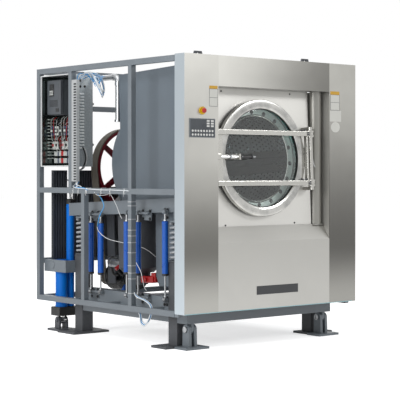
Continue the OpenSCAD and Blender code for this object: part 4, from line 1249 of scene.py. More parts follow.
@dataclass
class Dampers:
    """Caps, nuts and bolted plates of the ten telescopic dampers.

    Attributes:
        side: distance of the dampers from the middle.
        groups: height of each group's barrel top, and Y of its dampers.
        length: length of a barrel.
        radius: radius of a barrel.
        eye: height of the upper eyes over a barrel's top.
        low_bar: height of the lower bars.
        plates: middle and half spread along Y of each bracket's bolts.
        upper_face: distance of the upper brackets' faces from the middle.
        lower_face: distance of the lower brackets' faces from the middle.
    """

    side: float = 885.0
    groups: tuple[tuple[float, tuple[float, ...]], ...] = (
        (1040.7, (420.0, 267.0)), (1068.1, (-134.0, -302.0)), (1085.5, (-690.0,)))
    length: float = 470.0
    radius: float = 28.0
    eye: float = 82.0
    low_bar: float = 408.0
    plates: tuple[tuple[float, float], ...] = ((389.5, 46.0), (-391.0, 50.0), (-671.5, 16.0))
    upper_face: float = 858.3
    lower_face: float = 863.3

    def build(self) -> None:
        """Makes the pieces on both sides."""
        caps, seals, washers, stems, eyes, nuts = (Shape() for _ in range(6))
        r = self.radius
        for x, y, top in self.places():
            caps.turned([(10.5, 1), (r - 6, 1), (r + 1.2, -4), (r + 1.2, -22), (r + 0.3, -24), (r + 0.3, -2),
                         (10.5, 1)], (x, y, top), UP, 32)
            seals.turned([(9, -4), (r - 8, -4), (r + 0.8, 3), (r + 0.8, 18), (r + 0.2, 18), (r + 0.2, 0.5),
                          (9, 0.5)], (x, y, top - self.length), UP, 32, closed=True)
            washers.collar(10.3, 17, 4, 16, (x, y, top), UP, 6, 20)
            stems.turned([(10.4, 16), (10.4, 66)], (x, y, top), UP, 20)
            eyes.collar(12.2, 21.4, -15.3, 15.3, (x, y, top + self.eye), BACKWARD, 32)
            nuts.collar(8.2, 13, 0, 10, (x, y, self.low_bar + 23), UP, 6, 20)
            for end in SIDES:
                for shape, height in ((washers, top + self.eye), (nuts, self.low_bar)):
                    shape.collar(12.2, 19, 0, 4, (x, y + end * 15.4, height), (0, end, 0))
        for word, shape, finish in (("stems", stems, Paint.zinc), ("top_eyes", eyes, Paint.frame),
                                    ("caps", caps, Paint.royal), ("wipers", seals, Paint.rubber),
                                    ("eye_washers", washers, Paint.zinc)):
            shape.piece("damper_" + word, Body.CRADLE, finish)
        nuts.piece("damper_lock_nuts", Body.MACHINE, Paint.zinc)
        self.bolts()

    def places(self) -> Iterator[Point]:
        """Goes through the dampers of both sides.

        Yields:
            The middle of each barrel's top.
        """
        for side in SIDES:
            for top, depths in self.groups:
                for y in depths:
                    yield side * self.side, y, top

    def bolts(self) -> None:
        """The bolts that hold each bracket's plate to its beam."""
        for name, body, face, lift in (("upper", Body.CRADLE, self.upper_face, -50.0),
                                       ("lower", Body.MACHINE, self.lower_face, -44.0)):
            places = []
            for (middle, spread_y), (top, _) in zip(self.plates, self.groups):
                base = top + self.eye if name == "upper" else self.low_bar
                places += [(y, base + z) for y in (middle - spread_y, middle + spread_y) for z in (lift, 18.0)]
            for side, word in zip(SIDES, ("left", "right")):
                unit = bolt_head(17)
                unit.work.transform(Matrix.Rotation(side * math.pi / 2, 4, "Y"))
                spots = [(side * face, y, z) for y, z in places]
                Repeat(unit, places=spots).piece(f"{name}_bracket_bolts_{word}", body, Paint.motor)


@dataclass
class Lifts:
    """Black ends, caps and pipework of the two lift cylinders and their oil tanks.

    Attributes:
        side: distance of the cylinders' axes from the middle.
        inward: distance of the tanks' axes from the cylinders'.
        depth: Y of the axes.
        tank_top: height of the tanks' tops.
        tank: radius of the tanks.
        barrel: radius of the cylinders.
        trunnion: height of the trunnions.
        covers: distances of the trunnions' covers from the middle, outer and inner.
    """

    side: float = 867.0
    inward: float = 101.0
    depth: float = 935.0
    tank_top: float = 1206.0
    tank: float = 38.0
    barrel: float = 58.0
    trunnion: float = 630.0
    covers: tuple[float, float] = (968.8, 676.2)

    def build(self) -> None:
        """Makes the pieces on both sides."""
        dark, steel, bands, covers = (Shape() for _ in range(4))
        y, top, tank = self.depth, self.tank_top, self.tank
        for side in SIDES:
            x, tank_x = side * self.side, side * (self.side - self.inward)
            low, high = sorted((x, tank_x))
            dark.box((low - 74, y - 74, 142), (low + self.inward + 62, y + 74, 226), bevel=6)
            dark.turned([(0, 0), (tank + 3, 0), (tank + 3, 44), (tank - 4, 50), (0, 50)], (tank_x, y, top - 0.5),
                        UP, 36)
            dark.box((tank_x - 32, y - 46, top + 12), (tank_x + 32, y - 18, top + 46), bevel=3)
            steel.disc(17, 18, (tank_x, y, top + 49), UP, 6, 20)
            steel.turned([(0, 0), (11, 0), (11, 30), (14, 30), (14, 52), (0, 52)], (tank_x, y, top + 66), UP, 20)
            pipe = ((0, 110), (0, 170), (12, 215), (40, 230), (66, 230))
            steel.tube([(tank_x, y + back, top + up) for back, up in pipe], 7, 12)
            for at, radius, heights in ((x, self.barrel, (236, 560, 668)), (tank_x, tank, (760, 1180))):
                for height in heights:
                    bands.turned([(radius + 0.2, -5), (radius + 3, -4), (radius + 3, 4), (radius + 0.2, 5)],
                                 (at, y, height), UP, 40, closed=True)
            steel.box((low + 20, y - 74, 596), (high - 20, y - 66, 664), bevel=2)
            for end, away in zip(self.covers, (side, -side)):
                covers.turned([(0, 0), (34, 0), (34, 4), (30, 7), (0, 7)], (side * end, y, self.trunnion),
                              (away, 0, 0), 32)
        covers.piece("trunnion_covers", Body.MACHINE, Paint.frame)
        dark.piece("lift_ends", Body.BARRELS, Paint.rubber)
        steel.piece("lift_fittings", Body.BARRELS, Paint.zinc)
        bands.piece("lift_bands", Body.BARRELS, Paint.blue)


# ---------------------------------------------------------------- door


@dataclass
class Door:
    """The round door: pressed ring, seal, pane, cast bars with their clamps, and the lock.

    Attributes:
        ring: radius of the ring's outer edge.
        window: radius of its opening.
        front: Y of its front face in the pitched frame.
        back: Y of its rear face.
        bars: heights of the bars' middles over the drum's axis.
        left: X of the bars' free ends.
        hinge: X and Y of the hinge's axis.
    """

    ring: float = 516.0
    window: float = 434.0
    front: float = -66.7
    back: float = -46.7
    bars: tuple[float, float] = (220.0, -224.0)
    left: float = -650.0
    hinge: tuple[float, float] = (478.0, -90.0)

    def build(self) -> None:
        """Makes the door's pieces."""
        self.ring_and_pane()
        self.arm()
        self.lock()

    def ring_and_pane(self) -> None:
        """The ring with its rolled rim, the seal behind it and the pane."""
        o, w, f, b = self.ring, self.window, self.front, self.back
        rim = [(w, b), (w, f + 9), (w + 3, f + 5.5), (w + 15, f + 1.2), (w + 19, f), (o - 13, f), (o - 6, f + 1.5),
               (o - 1.5, f + 6), (o, f + 12), (o, b + 22), (o - 2.2, b + 22), (o - 2.2, b)]
        ring = Shape(ON_DRUM).turned(rim, ORIGIN, BACKWARD, 128, closed=True, sharp=28)
        ring.piece("door_rim", Body.DOOR, Paint.ring, stands_for=("door_ring", "stainless"))
        lip = [(o - 4, -46.2), (o - 3, -38), (o - 7, -26), (o - 4, -12), (o - 12, -1), (474, -1), (466, -9),
               (462, -24), (466, -40), (474, -46.2)]
        seal = Shape(ON_DRUM).turned(lip, ORIGIN, BACKWARD, 128, closed=True, sharp=60)
        seal.piece("door_gasket", Body.DOOR, Paint.rubber, stands_for=("door_seal", "seal_rubber"))
        flat = [(0, -46.3), (448, -46.3), (455, -44.5), (456.5, -42), (456.5, -35), (454, -31.6), (0, -31.6)]
        pane = Shape(ON_DRUM).turned(flat, ORIGIN, BACKWARD, 96, sharp=20)
        pane.piece("door_pane", Body.DOOR, Paint.glass, stands_for=("door_glass", "window_glass"))
        bead = Shape(ON_DRUM).turned([(w - 5, b - 8), (w - 0.3, b - 11), (w - 0.3, b - 0.5), (w - 5, b - 0.5)],
                                     ORIGIN, BACKWARD, 96, closed=True)
        bead.piece("pane_bead", Body.DOOR, Paint.rubber)

    def arm(self) -> None:
        """The cast bars, their braces and the clamps round the hinge post."""
        arm = Shape(PITCHED)
        back, deep, half, bore = self.front - 0.3, 46.0, 22.0, 20.3
        x, y = self.hinge
        for z in self.bars:
            arm.box((self.left, back - deep, z - half), (x - 30, back, z + half), bevel=5, steps=3)
            for low, high in ((z - 32, z - 11), (z + 11, z + 32)):
                arm.turned([(bore, low), (31, low), (34, low + 3), (34, high - 3), (31, high), (bore, high)],
                           (x, y, 0), UP, 40, closed=True)
            arm.collar(bore, 30, z - 10.8, z + 10.8, (x, y, 0), UP, 40)
        low, high = self.bars[1] + half, self.bars[0] - half
        arm.box((self.left + 2, back - 14, low - 2), (self.left + 86, back, high + 2), bevel=3)
        arm.box((x - 60, back - 38, low - 2), (x - 40, back, high + 2), bevel=4)
        arm.box((self.left, y - 22, -20), (self.left + 46, back - 10, 32), bevel=5, steps=3)
        arm.box((-404, y - 22, -20), (-384, back, 32), bevel=4)
        arm.box((self.left + 60, back - 13.8, -14), (-400, back - 0.2, 26), bevel=2)
        arm.piece("door_bars", Body.DOOR, Paint.satin, stands_for=("door_arm", "stainless"))
        self.clamp_bolts(x, y)

    def clamp_bolts(self, x: float, y: float) -> None:
        """Bolts of the clamps and stop screws at the bars' hinge ends.

        Args:
            x: X of the hinge's axis.
            y: Y of the hinge's axis.
        """
        bolts = Shape(PITCHED)
        for z in self.bars:
            for rise in (-9.45, 9.45):
                bolts.disc(8.5, 9, (x - 48, y - 24, z + rise), (0, -1, 0), 6, 20)
            for inward, tip, nut in ((74, 46, 30), (112, 40, 26)):
                bolts.rod((x - inward, y - 4, z + 22), (x - inward, y - 4, z + tip), 5, 12)
                bolts.disc(11, 8, (x - inward, y - 4, z + nut), UP, 6, 20)
        bolts.piece("door_clamp_bolts", Body.DOOR, Paint.cast)

    def lock(self) -> None:
        """The air cylinder of the lock with its bolt, ports and end caps."""
        y = self.hinge[1]
        body, bright, bolt, stop = (Shape(PITCHED) for _ in range(4))
        body.turned([(13.6, 0), (16, 0), (17, 1.5), (17, 142), (15, 143.5), (0, 143.5)], (-383.6, y, 6), RIGHT, 32)
        for near, far in ((-383, -368), (-256, -241)):
            body.box((near, y - 20, -14), (far, y + 18, 26), bevel=3)
        for x in (-376, -249):
            bright.rod((x, y - 21, 6), (x, y - 33, 6), 5, 6)
        bright.turned([(0, 0), (9, 0), (9, 10), (6, 14), (6, 40), (0, 42)], (-240, y, 6), RIGHT, 24)
        bolt.turned([(0, 0), (9, 0), (13, 5), (13, 349), (11, 350), (0, 350)], (-648, y, 6), RIGHT, 32)
        stop.turned([(13.2, 0), (22, 0), (24, 2), (24, 12), (22, 14), (13.2, 14)], (-498, y, 6), RIGHT, 32,
                    closed=True)
        body.piece("lock_case", Body.DOOR, Paint.motor, stands_for=("lock_cylinder", "lock_black"))
        bright.piece("lock_fittings", Body.DOOR, Paint.zinc)
        bolt.piece("lock_plunger", Body.BOLT, Paint.chrome, stands_for=("lock_bolt", "chrome"))
        stop.piece("lock_collar", Body.BOLT, Paint.zinc)


# ---------------------------------------------------------------- drum and drive


@dataclass
class Drum:
    """Perforations, mouth bolts and ribs of the inner drum.

    Attributes:
        radius: inner radius of its sheet.
        front: Y of its mouth ring in the pitched frame.
        rear: Y of its rear end.
        mouth: radius of the bolts' circle.
        pitch: distance between the perforations.
        row_share: distance between their rows as a share of the pitch.
        swages: Y of the rolled rings in its sheet.
    """

    radius: float = 575.0
    front: float = 50.0
    rear: float = 1180.0
    mouth: float = 405.0
    pitch: float = 37.0
    row_share: float = 0.866
    swages: tuple[float, ...] = (160.0, 420.0, 680.0, 940.0)

    def build(self) -> None:
        """Makes the drum's pieces."""
        around = ON_DRUM @ toward(BACKWARD, ORIGIN)
        # Each perforation is a near-black disc just inside the sheet: painted shade seen through the hole.
        hole = Shape().turned([(0, 0.5), (6.6, 0.5), (7.4, 0.0)], ORIGIN, (-1, 0, 0), 6, sharp=10)
        row = self.pitch * self.row_share
        count, rows = int(math.tau * self.radius / self.pitch), int((self.rear - self.front - 90) / row)
        holes = Repeat(hole, Layout.WRAPPED, count, rows, self.radius - 1.2, (0, row), math.pi / count,
                       place=around @ Matrix.Translation((0, 0, self.front + 55)))
        holes.piece("drum_perforations", Body.DRUM, Paint.hole)
        head = bolt_head(20)
        head.work.transform(Matrix.Rotation(math.pi, 4, "X"))
        heads = Repeat(head, Layout.WRAPPED, 18, 1, self.mouth, start=0.1,
                       place=around @ Matrix.Translation((0, 0, self.front - 8.2)))
        heads.piece("mouth_bolts", Body.DRUM, Paint.motor)
        lip = Shape(ON_DRUM)
        lip.turned([(369.5, 33), (377, 30), (385, 36), (386, 41.5), (372, 49), (369.5, 49)], ORIGIN, BACKWARD, 96,
                   closed=True, sharp=50)
        lip.piece("mouth_lip", Body.DRUM, Paint.polished)
        swage, base = Shape(ON_DRUM), self.radius - 0.2
        for y in self.swages:
            swage.turned([(base, y - 9), (base - 5.8, y), (base, y + 9)], ORIGIN, BACKWARD, 96, closed=True,
                         sharp=80)
        swage.piece("drum_swages", Body.DRUM, Paint.drum)


@dataclass
class Drive:
    """The large pulley, its bolts, and the motor's details.

    Attributes:
        radius: radius of the large pulley.
        front: Y of the pulleys' front face in the pitched frame.
        width: width of the rims.
        spokes: number of spokes.
        motor: X and Z of the motor's axis from the drum's.
    """

    radius: float = 385.0
    front: float = 1890.0
    width: float = 115.0
    spokes: int = 5
    motor: tuple[float, float] = (-235.0, -1055.0)

    def build(self) -> None:
        """Makes the drive's pieces."""
        self.pulley()
        self.motor_details()

    def grooves(self, radius: float, inner: float) -> list[tuple[float, float]]:
        """Outline of a rim with five vee grooves.

        Args:
            radius: outer radius.
            inner: inner radius.

        Returns:
            Pairs of radius and distance from the front face.
        """
        line = [(inner, 0.0), (inner, self.width), (radius, self.width)]
        for k in reversed(range(5)):
            middle = self.width / 2 + (k - 2) * 21
            line += [(radius, middle + 8), (radius - 11, middle + 5), (radius - 11, middle - 5),
                     (radius, middle - 8)]
        return line + [(radius, 0.0)]

    def pulley(self) -> None:
        """The grooved rim, the hub and the tapered spokes."""
        at, middle, tip = (0, self.front, 0), self.front + self.width / 2, self.radius - 24
        wheel = Shape(ON_DRUM)
        wheel.turned(self.grooves(self.radius, self.radius - 26), at, BACKWARD, 96, closed=True, sharp=20)
        wheel.turned([(60.2, 0), (104, 0), (110, 6), (110, 109), (104, 115), (60.2, 115)], at, BACKWARD, 48,
                     closed=True)
        for k in range(self.spokes):
            wheel.place = ON_DRUM @ Matrix.Rotation(math.tau * k / self.spokes + math.radians(20), 4, "Y")
            for root_x, root_y, root_z, tip_x, tip_y, thick in ((36, 26, 98, 26, 20, 12), (9, 30, 100, 9, 24, 54)):
                wheel.prism([(-root_x, middle - root_y, root_z), (root_x, middle - root_y, root_z),
                             (tip_x, middle - tip_y, tip), (-tip_x, middle - tip_y, tip)], (0, thick, 0))
        wheel.piece("pulley_wheel", Body.DRUM, Paint.pulley, stands_for=("drive_pulley", "pulley_red"))
        around = ON_DRUM @ toward(BACKWARD, (0, self.front + self.width, 0))
        Repeat(bolt_head(22), Layout.WRAPPED, 6, 1, 84, place=around).piece("pulley_bolts", Body.DRUM, Paint.zinc)

    def motor_details(self) -> None:
        """Fins' end bell, terminal box lid and cable ends on the motor."""
        axis = ON_DRUM @ Matrix.Translation((self.motor[0], 0, self.motor[1]))
        bell = Shape(axis)
        bell.turned([(0, 1486), (60, 1488), (104, 1494), (119, 1502), (124.5, 1516), (124.5, 1539), (0, 1539)],
                    ORIGIN, BACKWARD, 48, sharp=40)
        bell.box((-84, 1616, 116), (64, 1764, 182), bevel=6, steps=3)
        bell.box((-88, 1612, 166), (68, 1768, 176), bevel=3)
        for y in (1650, 1720):
            bell.turned([(0, 0), (18, 0), (18, 30), (14, 34), (0, 34)], (-86, y, 140), (-1, 0, 0), 24)
        bell.piece("motor_bell", Body.CRADLE, Paint.motor)
        rib = Shape().box((58, -3, -14), (116, 3, 6), bevel=1.5)
        ribs = Repeat(rib, Layout.WRAPPED, 8, 1, 0.0, place=axis @ toward(BACKWARD, (0, 1490, 0)))
        ribs.piece("motor_bell_ribs", Body.CRADLE, Paint.motor)
        boots = Shape(axis)
        for y, turn in ((1650, 0), (1720, 30)):
            boots.tube([(-118, y, 140), (-150, y, 140), (-178, y - 30, 120), (-190, y - 90, 60 - turn),
                        (-196, y - 170, 20)], 10, 10)
        boots.piece("motor_leads", Body.CRADLE, Paint.rubber)


# ---------------------------------------------------------------- electric gear


@dataclass
class Gear:
    """The cabinet's louvres and fittings, the inverter, the switchgear, the ducts and the cables.

    Attributes:
        wall: Y of the cabinet's front wall.
        rear: Y of its rear edge.
        open_x: X of its open side.
        back_x: X of the mounting wall's face.
        bottom: height of its floor.
        top: height of its roof.
        louvres: count, first height and step of the louvres.
        slots: the same of the long duct's slots.
        comb: the same of the bars of the duct on the rear wall.
        rails: heights of the terminals' rails.
        contactors: count, step and width of the contactors.
        breakers: the same of the breakers.
        terminals: the same of the terminals on a rail.
    """

    wall: float = 587.3
    rear: float = 1074.7
    open_x: float = -1010.0
    back_x: float = -752.3
    bottom: float = 1565.0
    top: float = 2432.0
    louvres: tuple[int, float, float] = (19, 1740.0, 28.2)
    slots: tuple[int, float, float] = (36, 1446.0, 25.2)
    comb: tuple[int, float, float] = (13, 1640.0, 31.0)
    rails: tuple[float, float] = (1606.0, 1674.0)
    contactors: tuple[int, float, float] = (6, 73.9, 61.9)
    breakers: tuple[int, float, float] = (8, 55.4, 43.4)
    terminals: tuple[int, float, float] = (22, 19.6, 16.0)

    def build(self) -> None:
        """Makes the electric gear's pieces."""
        self.cabinet()
        self.inverter()
        self.switchgear()
        self.duct()
        self.cables()

    def cabinet(self) -> None:
        """Louvres, grommets, latches, the pale edge seal, and the dark lining that paints the shade inside the
        cabinet.
        """
        # The louvres' near-white finish is a painted highlight on their lips.
        louvre = Shape()
        louvre.prism([(-26, 0.4, -8), (-26, -9, -8), (-26, -7.5, -4), (-26, 0.4, 8)], (52, 0, 0))
        louvres = Repeat(louvre, places=[(-874.5, self.wall - 0.2, z) for z in evenly(*self.louvres)])
        louvres.piece("cabinet_louvres", Body.MACHINE, Paint.bright)
        rubber = Shape()
        for x, z in ((-891, 2372), (-891, 2315), (-840, 2317)):
            rubber.turned([(0, 0), (12, 0), (12, 4), (8, 9), (0, 9)], (x, self.wall - 0.2, z), (0, -1, 0), 20)
        for z in (2157, 1772):
            rubber.box((-748, 600, z - 22), (-736, 640, z + 22), bevel=3)
            rubber.turned([(0, 0), (11, 0), (11, 16), (8, 19), (0, 19)], (-736, 620, z), RIGHT, 20)
        rubber.piece("cabinet_grommets", Body.MACHINE, Paint.rubber)
        edge = Shape()
        x0, x1 = self.open_x - 5, self.open_x + 9
        for low, high in (((x0, self.wall, self.bottom), (x1, self.wall + 9, self.top)),
                          ((x0, self.rear - 9, self.bottom), (x1, self.rear, self.top)),
                          ((x0, self.wall + 9, self.bottom), (x1, self.rear - 9, self.bottom + 9)),
                          ((x0, self.wall + 9, self.top - 9), (x1, self.rear - 9, self.top))):
            edge.box(low, high, bevel=3)
        edge.piece("cabinet_edge_seal", Body.MACHINE, Paint.white)
        # Dark glossy sheets on the inner walls: painted shade inside the cabinet.
        lining = Shape()
        near, far = self.open_x + 4, self.back_x - 1
        for x0, x1, y0, y1 in ((self.back_x - 0.9, self.back_x - 0.1, self.wall + 5, self.rear - 5),
                               (near, far, self.rear - 5.2, self.rear - 4.3),
                               (near, far, self.wall + 4.3, self.wall + 5.2)):
            lining.box((x0, y0, self.bottom + 5), (x1, y1, self.top - 5))
        lining.piece("cabinet_lining", Body.MACHINE, Paint.lining)

    def inverter(self) -> None:
        """The inverter's moulded case with its cover step, keypad and vents."""
        x0, x1, y0, y1, z0, z1 = self.back_x - 205, self.back_x, 823.7, 1054.7, 2057.0, 2392.0
        case = Shape()
        case.box((x0 + 34, y0 + 4, z0), (x1, y1, z1), slot=1, bevel=4)
        case.box((x0, y0, z0 + 4), (x0 + 40, y1 - 5, z1 - 3), bevel=9, steps=3)
        case.piece("inverter_case", Body.MACHINE, Paint.case, Paint.rubber,
                   stands_for=("inverter", "inverter_case"))
        pad = Shape()
        pad.box((x0 - 5, 930, 2235), (x0 + 2, 1002, 2352), bevel=3)
        pad.box((x0 - 8, 938, 2312), (x0 - 4, 994, 2344), bevel=1)
        pad.box((x0 - 3, 848, 2085), (x0 + 1, 900, 2120), bevel=1)
        pad.piece("inverter_keypad", Body.MACHINE, Paint.motor)
        key = Shape().turned([(0, 0), (6, 0), (6, 2), (5, 3), (0, 3)], ORIGIN, (-1, 0, 0), 12)
        keys = Repeat(key, places=[(x0 - 5, 944 + 15 * a, 2252 + 16 * b) for a in range(4) for b in range(3)])
        keys.piece("inverter_keys", Body.MACHINE, Paint.pale_case)
        slot = Shape().box((0, -70, -2.5), (3, 70, 2.5))
        vents = Repeat(slot, places=[(x0 - 1.2, 935, 2140 + 11 * k) for k in range(6)])
        vents.piece("inverter_vents", Body.MACHINE, Paint.slot)

    def switchgear(self) -> None:
        """Contactors, breakers, terminals with their wires, rails and the inner comb."""
        pale, black, red, navy, steel, inner = (Shape() for _ in range(6))
        back = self.back_x
        count, step, width = self.contactors
        for k, y0 in enumerate(evenly(count, self.wall + 28, step)):
            y1 = y0 + width
            body = (pale, black, navy)[(k * 2 + 1) % 3]
            body.box((back - 168, y0, 1865), (back, y1, 1950), bevel=3)
            black.box((back - 175, y0 + 8, 1884), (back - 164, y1 - 8, 1931), bevel=2)
            pale.box((back - 178, y0 + 16, 1898), (back - 173, y1 - 16, 1917), bevel=1)
        count, step, width = self.breakers
        for k, y0 in enumerate(evenly(count, self.wall + 28, step)):
            y1 = y0 + width
            (black if k in (2, 5) else pale).box((back - 150, y0, 1730), (back, y1, 1805), bevel=3)
            (red if k % 3 == 1 else black).box((back - 160, y0 + 13, 1758), (back - 148, y1 - 13, 1784), bevel=2)
        count, step, width = self.terminals
        for height in self.rails:
            steel.box((back - 9, self.wall + 20, height), (back, self.rear - 20, height + 34), bevel=1)
            for k, y0 in enumerate(evenly(count, self.wall + 34, step)):
                kind = red if k in (5, 14, 15) else (navy if k in (10, 18) else pale)
                kind.box((back - 124, y0, height - 6), (back - 8, y0 + width, height + 40), bevel=2, steps=1)
        for k in range(19):
            y, sway = self.wall + 46 + k * 21.7, 9 * math.sin(2.3 * k)
            kind = (pale, red, black, pale, steel)[k % 5]
            low, high = (1706.0, 1868.0) if k % 2 else (1796.0, 2040.0)
            kind.tube([(back - 128, y, low), (back - 168, y + sway, low + 34), (back - 172, y - sway, high - 40),
                       (back - 140, y, high)], 2.0, 6, 3)
        pale.piece("switch_bodies", Body.MACHINE, Paint.pale_case, stands_for=("contactors", "switchgear"))
        for word, shape, finish in (("blocks", black, Paint.motor), ("levers", red, Paint.red),
                                    ("relays", navy, Paint.navy), ("rails", steel, Paint.zinc)):
            shape.piece("switch_" + word, Body.MACHINE, finish)
        for z in evenly(*self.comb):
            inner.box((-938, 1044, z), (-856, self.rear - 4.2, z + 10), bevel=2, steps=1)
        inner.piece("inner_duct", Body.MACHINE, Paint.comb)

    def duct(self) -> None:
        """The slots in the long cable duct on the stanchion before the cabinet."""
        slot = Shape().box((-0.9, -20, -7.2), (0.9, 20, 7.2), bevel=0.8, steps=1)
        slots = Repeat(slot, places=[(-1024.2, 482, z) for z in evenly(*self.slots)])
        slots.piece("duct_slots", Body.MACHINE, Paint.slot)

    def cables(self) -> None:
        """Leads inside the cabinet and the cable below it."""
        dark, pale, red, brown = (Shape() for _ in range(4))
        back = self.back_x
        rows = (
            ((red, dark, pale, brown, dark), 2.6, 0,
             ((40, 0, 0, 1714), (66, 0.5, 1, 1690), (56, 0, 1, 1672), (30, 0, 0.5, 1646))),
            ((dark, red, brown, dark, pale), 2.8, 6,
             ((50, 0, 0, 1862), (84, -0.4, 1, 1846), (74, 0, 1, 1824), (44, 0, 0, 1808))),
            ((dark, pale, dark, red, brown), 2.8, 0,
             ((46, 0, 0, 1952), (80, 0, 0.6, 1972), (70, 0, -1, 1996), (40, 0, 0, 2020))),
        )
        for k in range(18):
            y, swing = self.wall + 46 + k * 24.5, 26 * math.sin(k * 2.4)
            for kinds, radius, ahead, ((out, *_, start), *line) in rows:
                path = [(back - out, y + ahead, start)]
                path += [(back - out - sway * swing, y + drift * swing, z) for out, sway, drift, z in line]
                kinds[k % len(kinds)].tube(path, radius, 6, 4)
        for k in range(5):
            y = 850 + k * 38
            dark.tube([(back - 60, y, 2056), (back - 66, y - 4, 2030), (back - 60, y - 30 + k * 4, 1990),
                       (back - 52, y - 60, 1952)], 6, 8, 5)
        dark.tube([(-868, 578, 1748), (-852, 570, 1700), (-842, 568, 1650), (-846, 575, 1600), (-858, 600, 1552),
                   (-862, 640, 1530)], 6, 8)
        pale.tube([(-850, 578, 1742), (-836, 570, 1700), (-828, 568, 1650), (-830, 575, 1600), (-838, 600, 1555),
                   (-842, 640, 1534)], 5, 8)
        for word, shape, finish in (("black", dark, Paint.rubber), ("white", pale, Paint.white),
                                    ("red", red, Paint.red), ("brown", brown, Paint.brown)):
            shape.piece("cabinet_leads_" + word, Body.MACHINE, finish)


@dataclass
class LooseWires:
    """Ties on the rails and thin hoses that hang on the left side.

    Attributes:
        rail_ties: Y of the ties on the middle rail.
        post_ties: heights of the ties on the full-height stanchion.
    """

    rail_ties: tuple[float, ...] = (507.0, 424.0, 302.0, 291.0, 62.0, -74.0, -284.0)
    post_ties: tuple[float, ...] = (1251, 1216, 1098, 1003, 952, 894, 805, 691, 627, 576, 449)

    def build(self) -> None:
        """Makes the ties and the hoses."""
        band = Shape()
        for low, high in (((-26.8, -3, -26.8), (-25.2, 3, 26.8)), ((25.2, -3, -26.8), (26.8, 3, 26.8)),
                          ((-26.8, -3, 25.2), (26.8, 3, 26.8)), ((-26.8, -3, -26.8), (26.8, 3, -25.2)),
                          ((-31, -4, -6), (-26, 4, 4))):
            band.box(low, high, bevel=0.6, steps=1)
        band.tube([(-29, 0, -4), (-33, 2, -20), (-30, 5, -38), (-27.5, 6, -46)], 1.3, 6, 3)
        bands = Repeat(band, places=[(-1000, y, 1342) for y in self.rail_ties])
        bands.piece("rail_ties", Body.MACHINE, Paint.white)
        strap = Shape()
        for low, high in (((-26.8, -26.8, -4), (-25.2, 26.8, 4)), ((25.2, -26.8, -4), (26.8, 26.8, 4)),
                          ((-26.8, -26.8, -4), (26.8, -25.2, 4)), ((-26.8, 25.2, -4), (26.8, 26.8, 4))):
            strap.box(low, high, bevel=0.6, steps=1)
        straps = Repeat(strap, places=[(-1000, -364, z) for z in self.post_ties])
        straps.piece("post_ties", Body.MACHINE, Paint.duct)
        self.hoses()

    @staticmethod
    def hoses() -> None:
        """The thin hoses and wires."""
        pale, blue, white = (Shape() for _ in range(3))
        along_rail = [(-962, 534, 1440), (-985, 528, 1402), (-1020, 515, 1380), (-1029, 440, 1366),
                      (-1029, 302, 1360), (-1029, 62, 1352), (-1029, -74, 1352), (-1029, -284, 1350),
                      (-1029, -360, 1346)]
        to_rail = [(-940, 532, 1434), (-975, 520, 1392), (-1014, 500, 1370), (-1031, 430, 1372),
                   (-1031, 320, 1366), (-1026, 286, 1352), (-1010, 262, 1344)]
        loose_end = [(-950, 533, 1450), (-990, 505, 1425), (-1032, 440, 1398), (-1034, 360, 1378)]
        to_dampers = [(-975, 191, 1317), (-930, 191, 1267), (-920, 168, 1201), (-920, 212, 1140),
                      (-921, 236, 1106), (-922, 250, 1066), (-922, 262, 1020)]
        upper_wire = [(-1026, 170, 1330), (-1008, 150, 1305), (-985, 100, 1302), (-985, 40, 1308),
                      (-960, 11, 1309), (-935, -40, 1220), (-925, -84, 1130), (-922, -110, 1096)]
        to_motor = [(-922, 270, 1010), (-922, 240, 965), (-880, 170, 905), (-800, 78, 873), (-720, -40, 850),
                    (-640, -121, 802), (-560, -140, 740)]
        to_post = [(-990, -412, 720), (-960, -440, 640), (-930, -430, 560), (-905, -420, 500), (-890, -430, 470)]
        for shape, radius, path in ((pale, 4.2, along_rail), (blue, 4.2, to_rail), (pale, 4.2, loose_end),
                                    (blue, 5, to_dampers), (white, 3, upper_wire), (white, 3, to_motor),
                                    (white, 3, to_post)):
            shape.tube(path, radius, 8)
        for k in range(7):
            lift, swing = 14 * math.sin(1.9 * k + 1), 26 * math.sin(2.7 * k)
            (blue if k % 3 else white).tube(
                [(-884, 570, 2372 + k * 3), (-878, 545, 2400 + lift), (-866 + 8 * k, 486 + swing / 2, 2424 + lift),
                 (-852 + 9 * k, 430 + swing, 2390 - 2 * k), (-820 + 6 * k, 392 + swing / 2, 2282 - 5 * k + lift),
                 (-782 + 4 * k, 388 + swing / 2, 2206 + 11 * k), (-744, 420 + swing / 3, 2268 + 11 * k),
                 (-722, 500 + swing / 2, 2392 + lift / 2), (-748, 590, 2441), (-792, 640, 2446)], 2.4, 6, 4)
        for k in range(6):
            swing = 30 * math.sin(2.1 * k + 0.4)
            (white if k == 2 else blue).tube(
                [(-1004 + 4 * k, 478, 2366), (-990 + 8 * k, 470 + swing / 2, 2420 - 4 * k),
                 (-930 + 10 * k, 452 + swing, 2425), (-868 + 9 * k, 424 - swing / 2, 2372 - 12 * k),
                 (-812 + 9 * k, 404 - swing / 3, 2330 + 14 * k), (-772 + 8 * k, 430 + swing / 2, 2404),
                 (-762, 520 - swing / 2, 2438), (-770, 600, 2446)], 2.4, 6, 4)
        for k, shape in enumerate((pale, blue, pale)):
            off = (k - 1) * 9.0
            shape.tube([(-968, -300 + off, 560), (-978, -352 + off, 480), (-1000 + off, -437, 426),
                        (-1000 + off, -560, 398), (-1000 + off, -640, 352), (-1000 + off, -628, 262),
                        (-1000 + off, -560, 190 + off), (-1000 + off, -505, 204 + off), (-998 + off, -486, 262),
                        (-996 + off, -470, 286)], 4.6, 8)
        pale.piece("side_hoses_pale", Body.MACHINE, Paint.pale_wire)
        blue.piece("side_hoses_blue", Body.MACHINE, Paint.blue_wire)
        white.piece("side_wires", Body.MACHINE, Paint.white)


# ---------------------------------------------------------------- controls, labels and small fittings


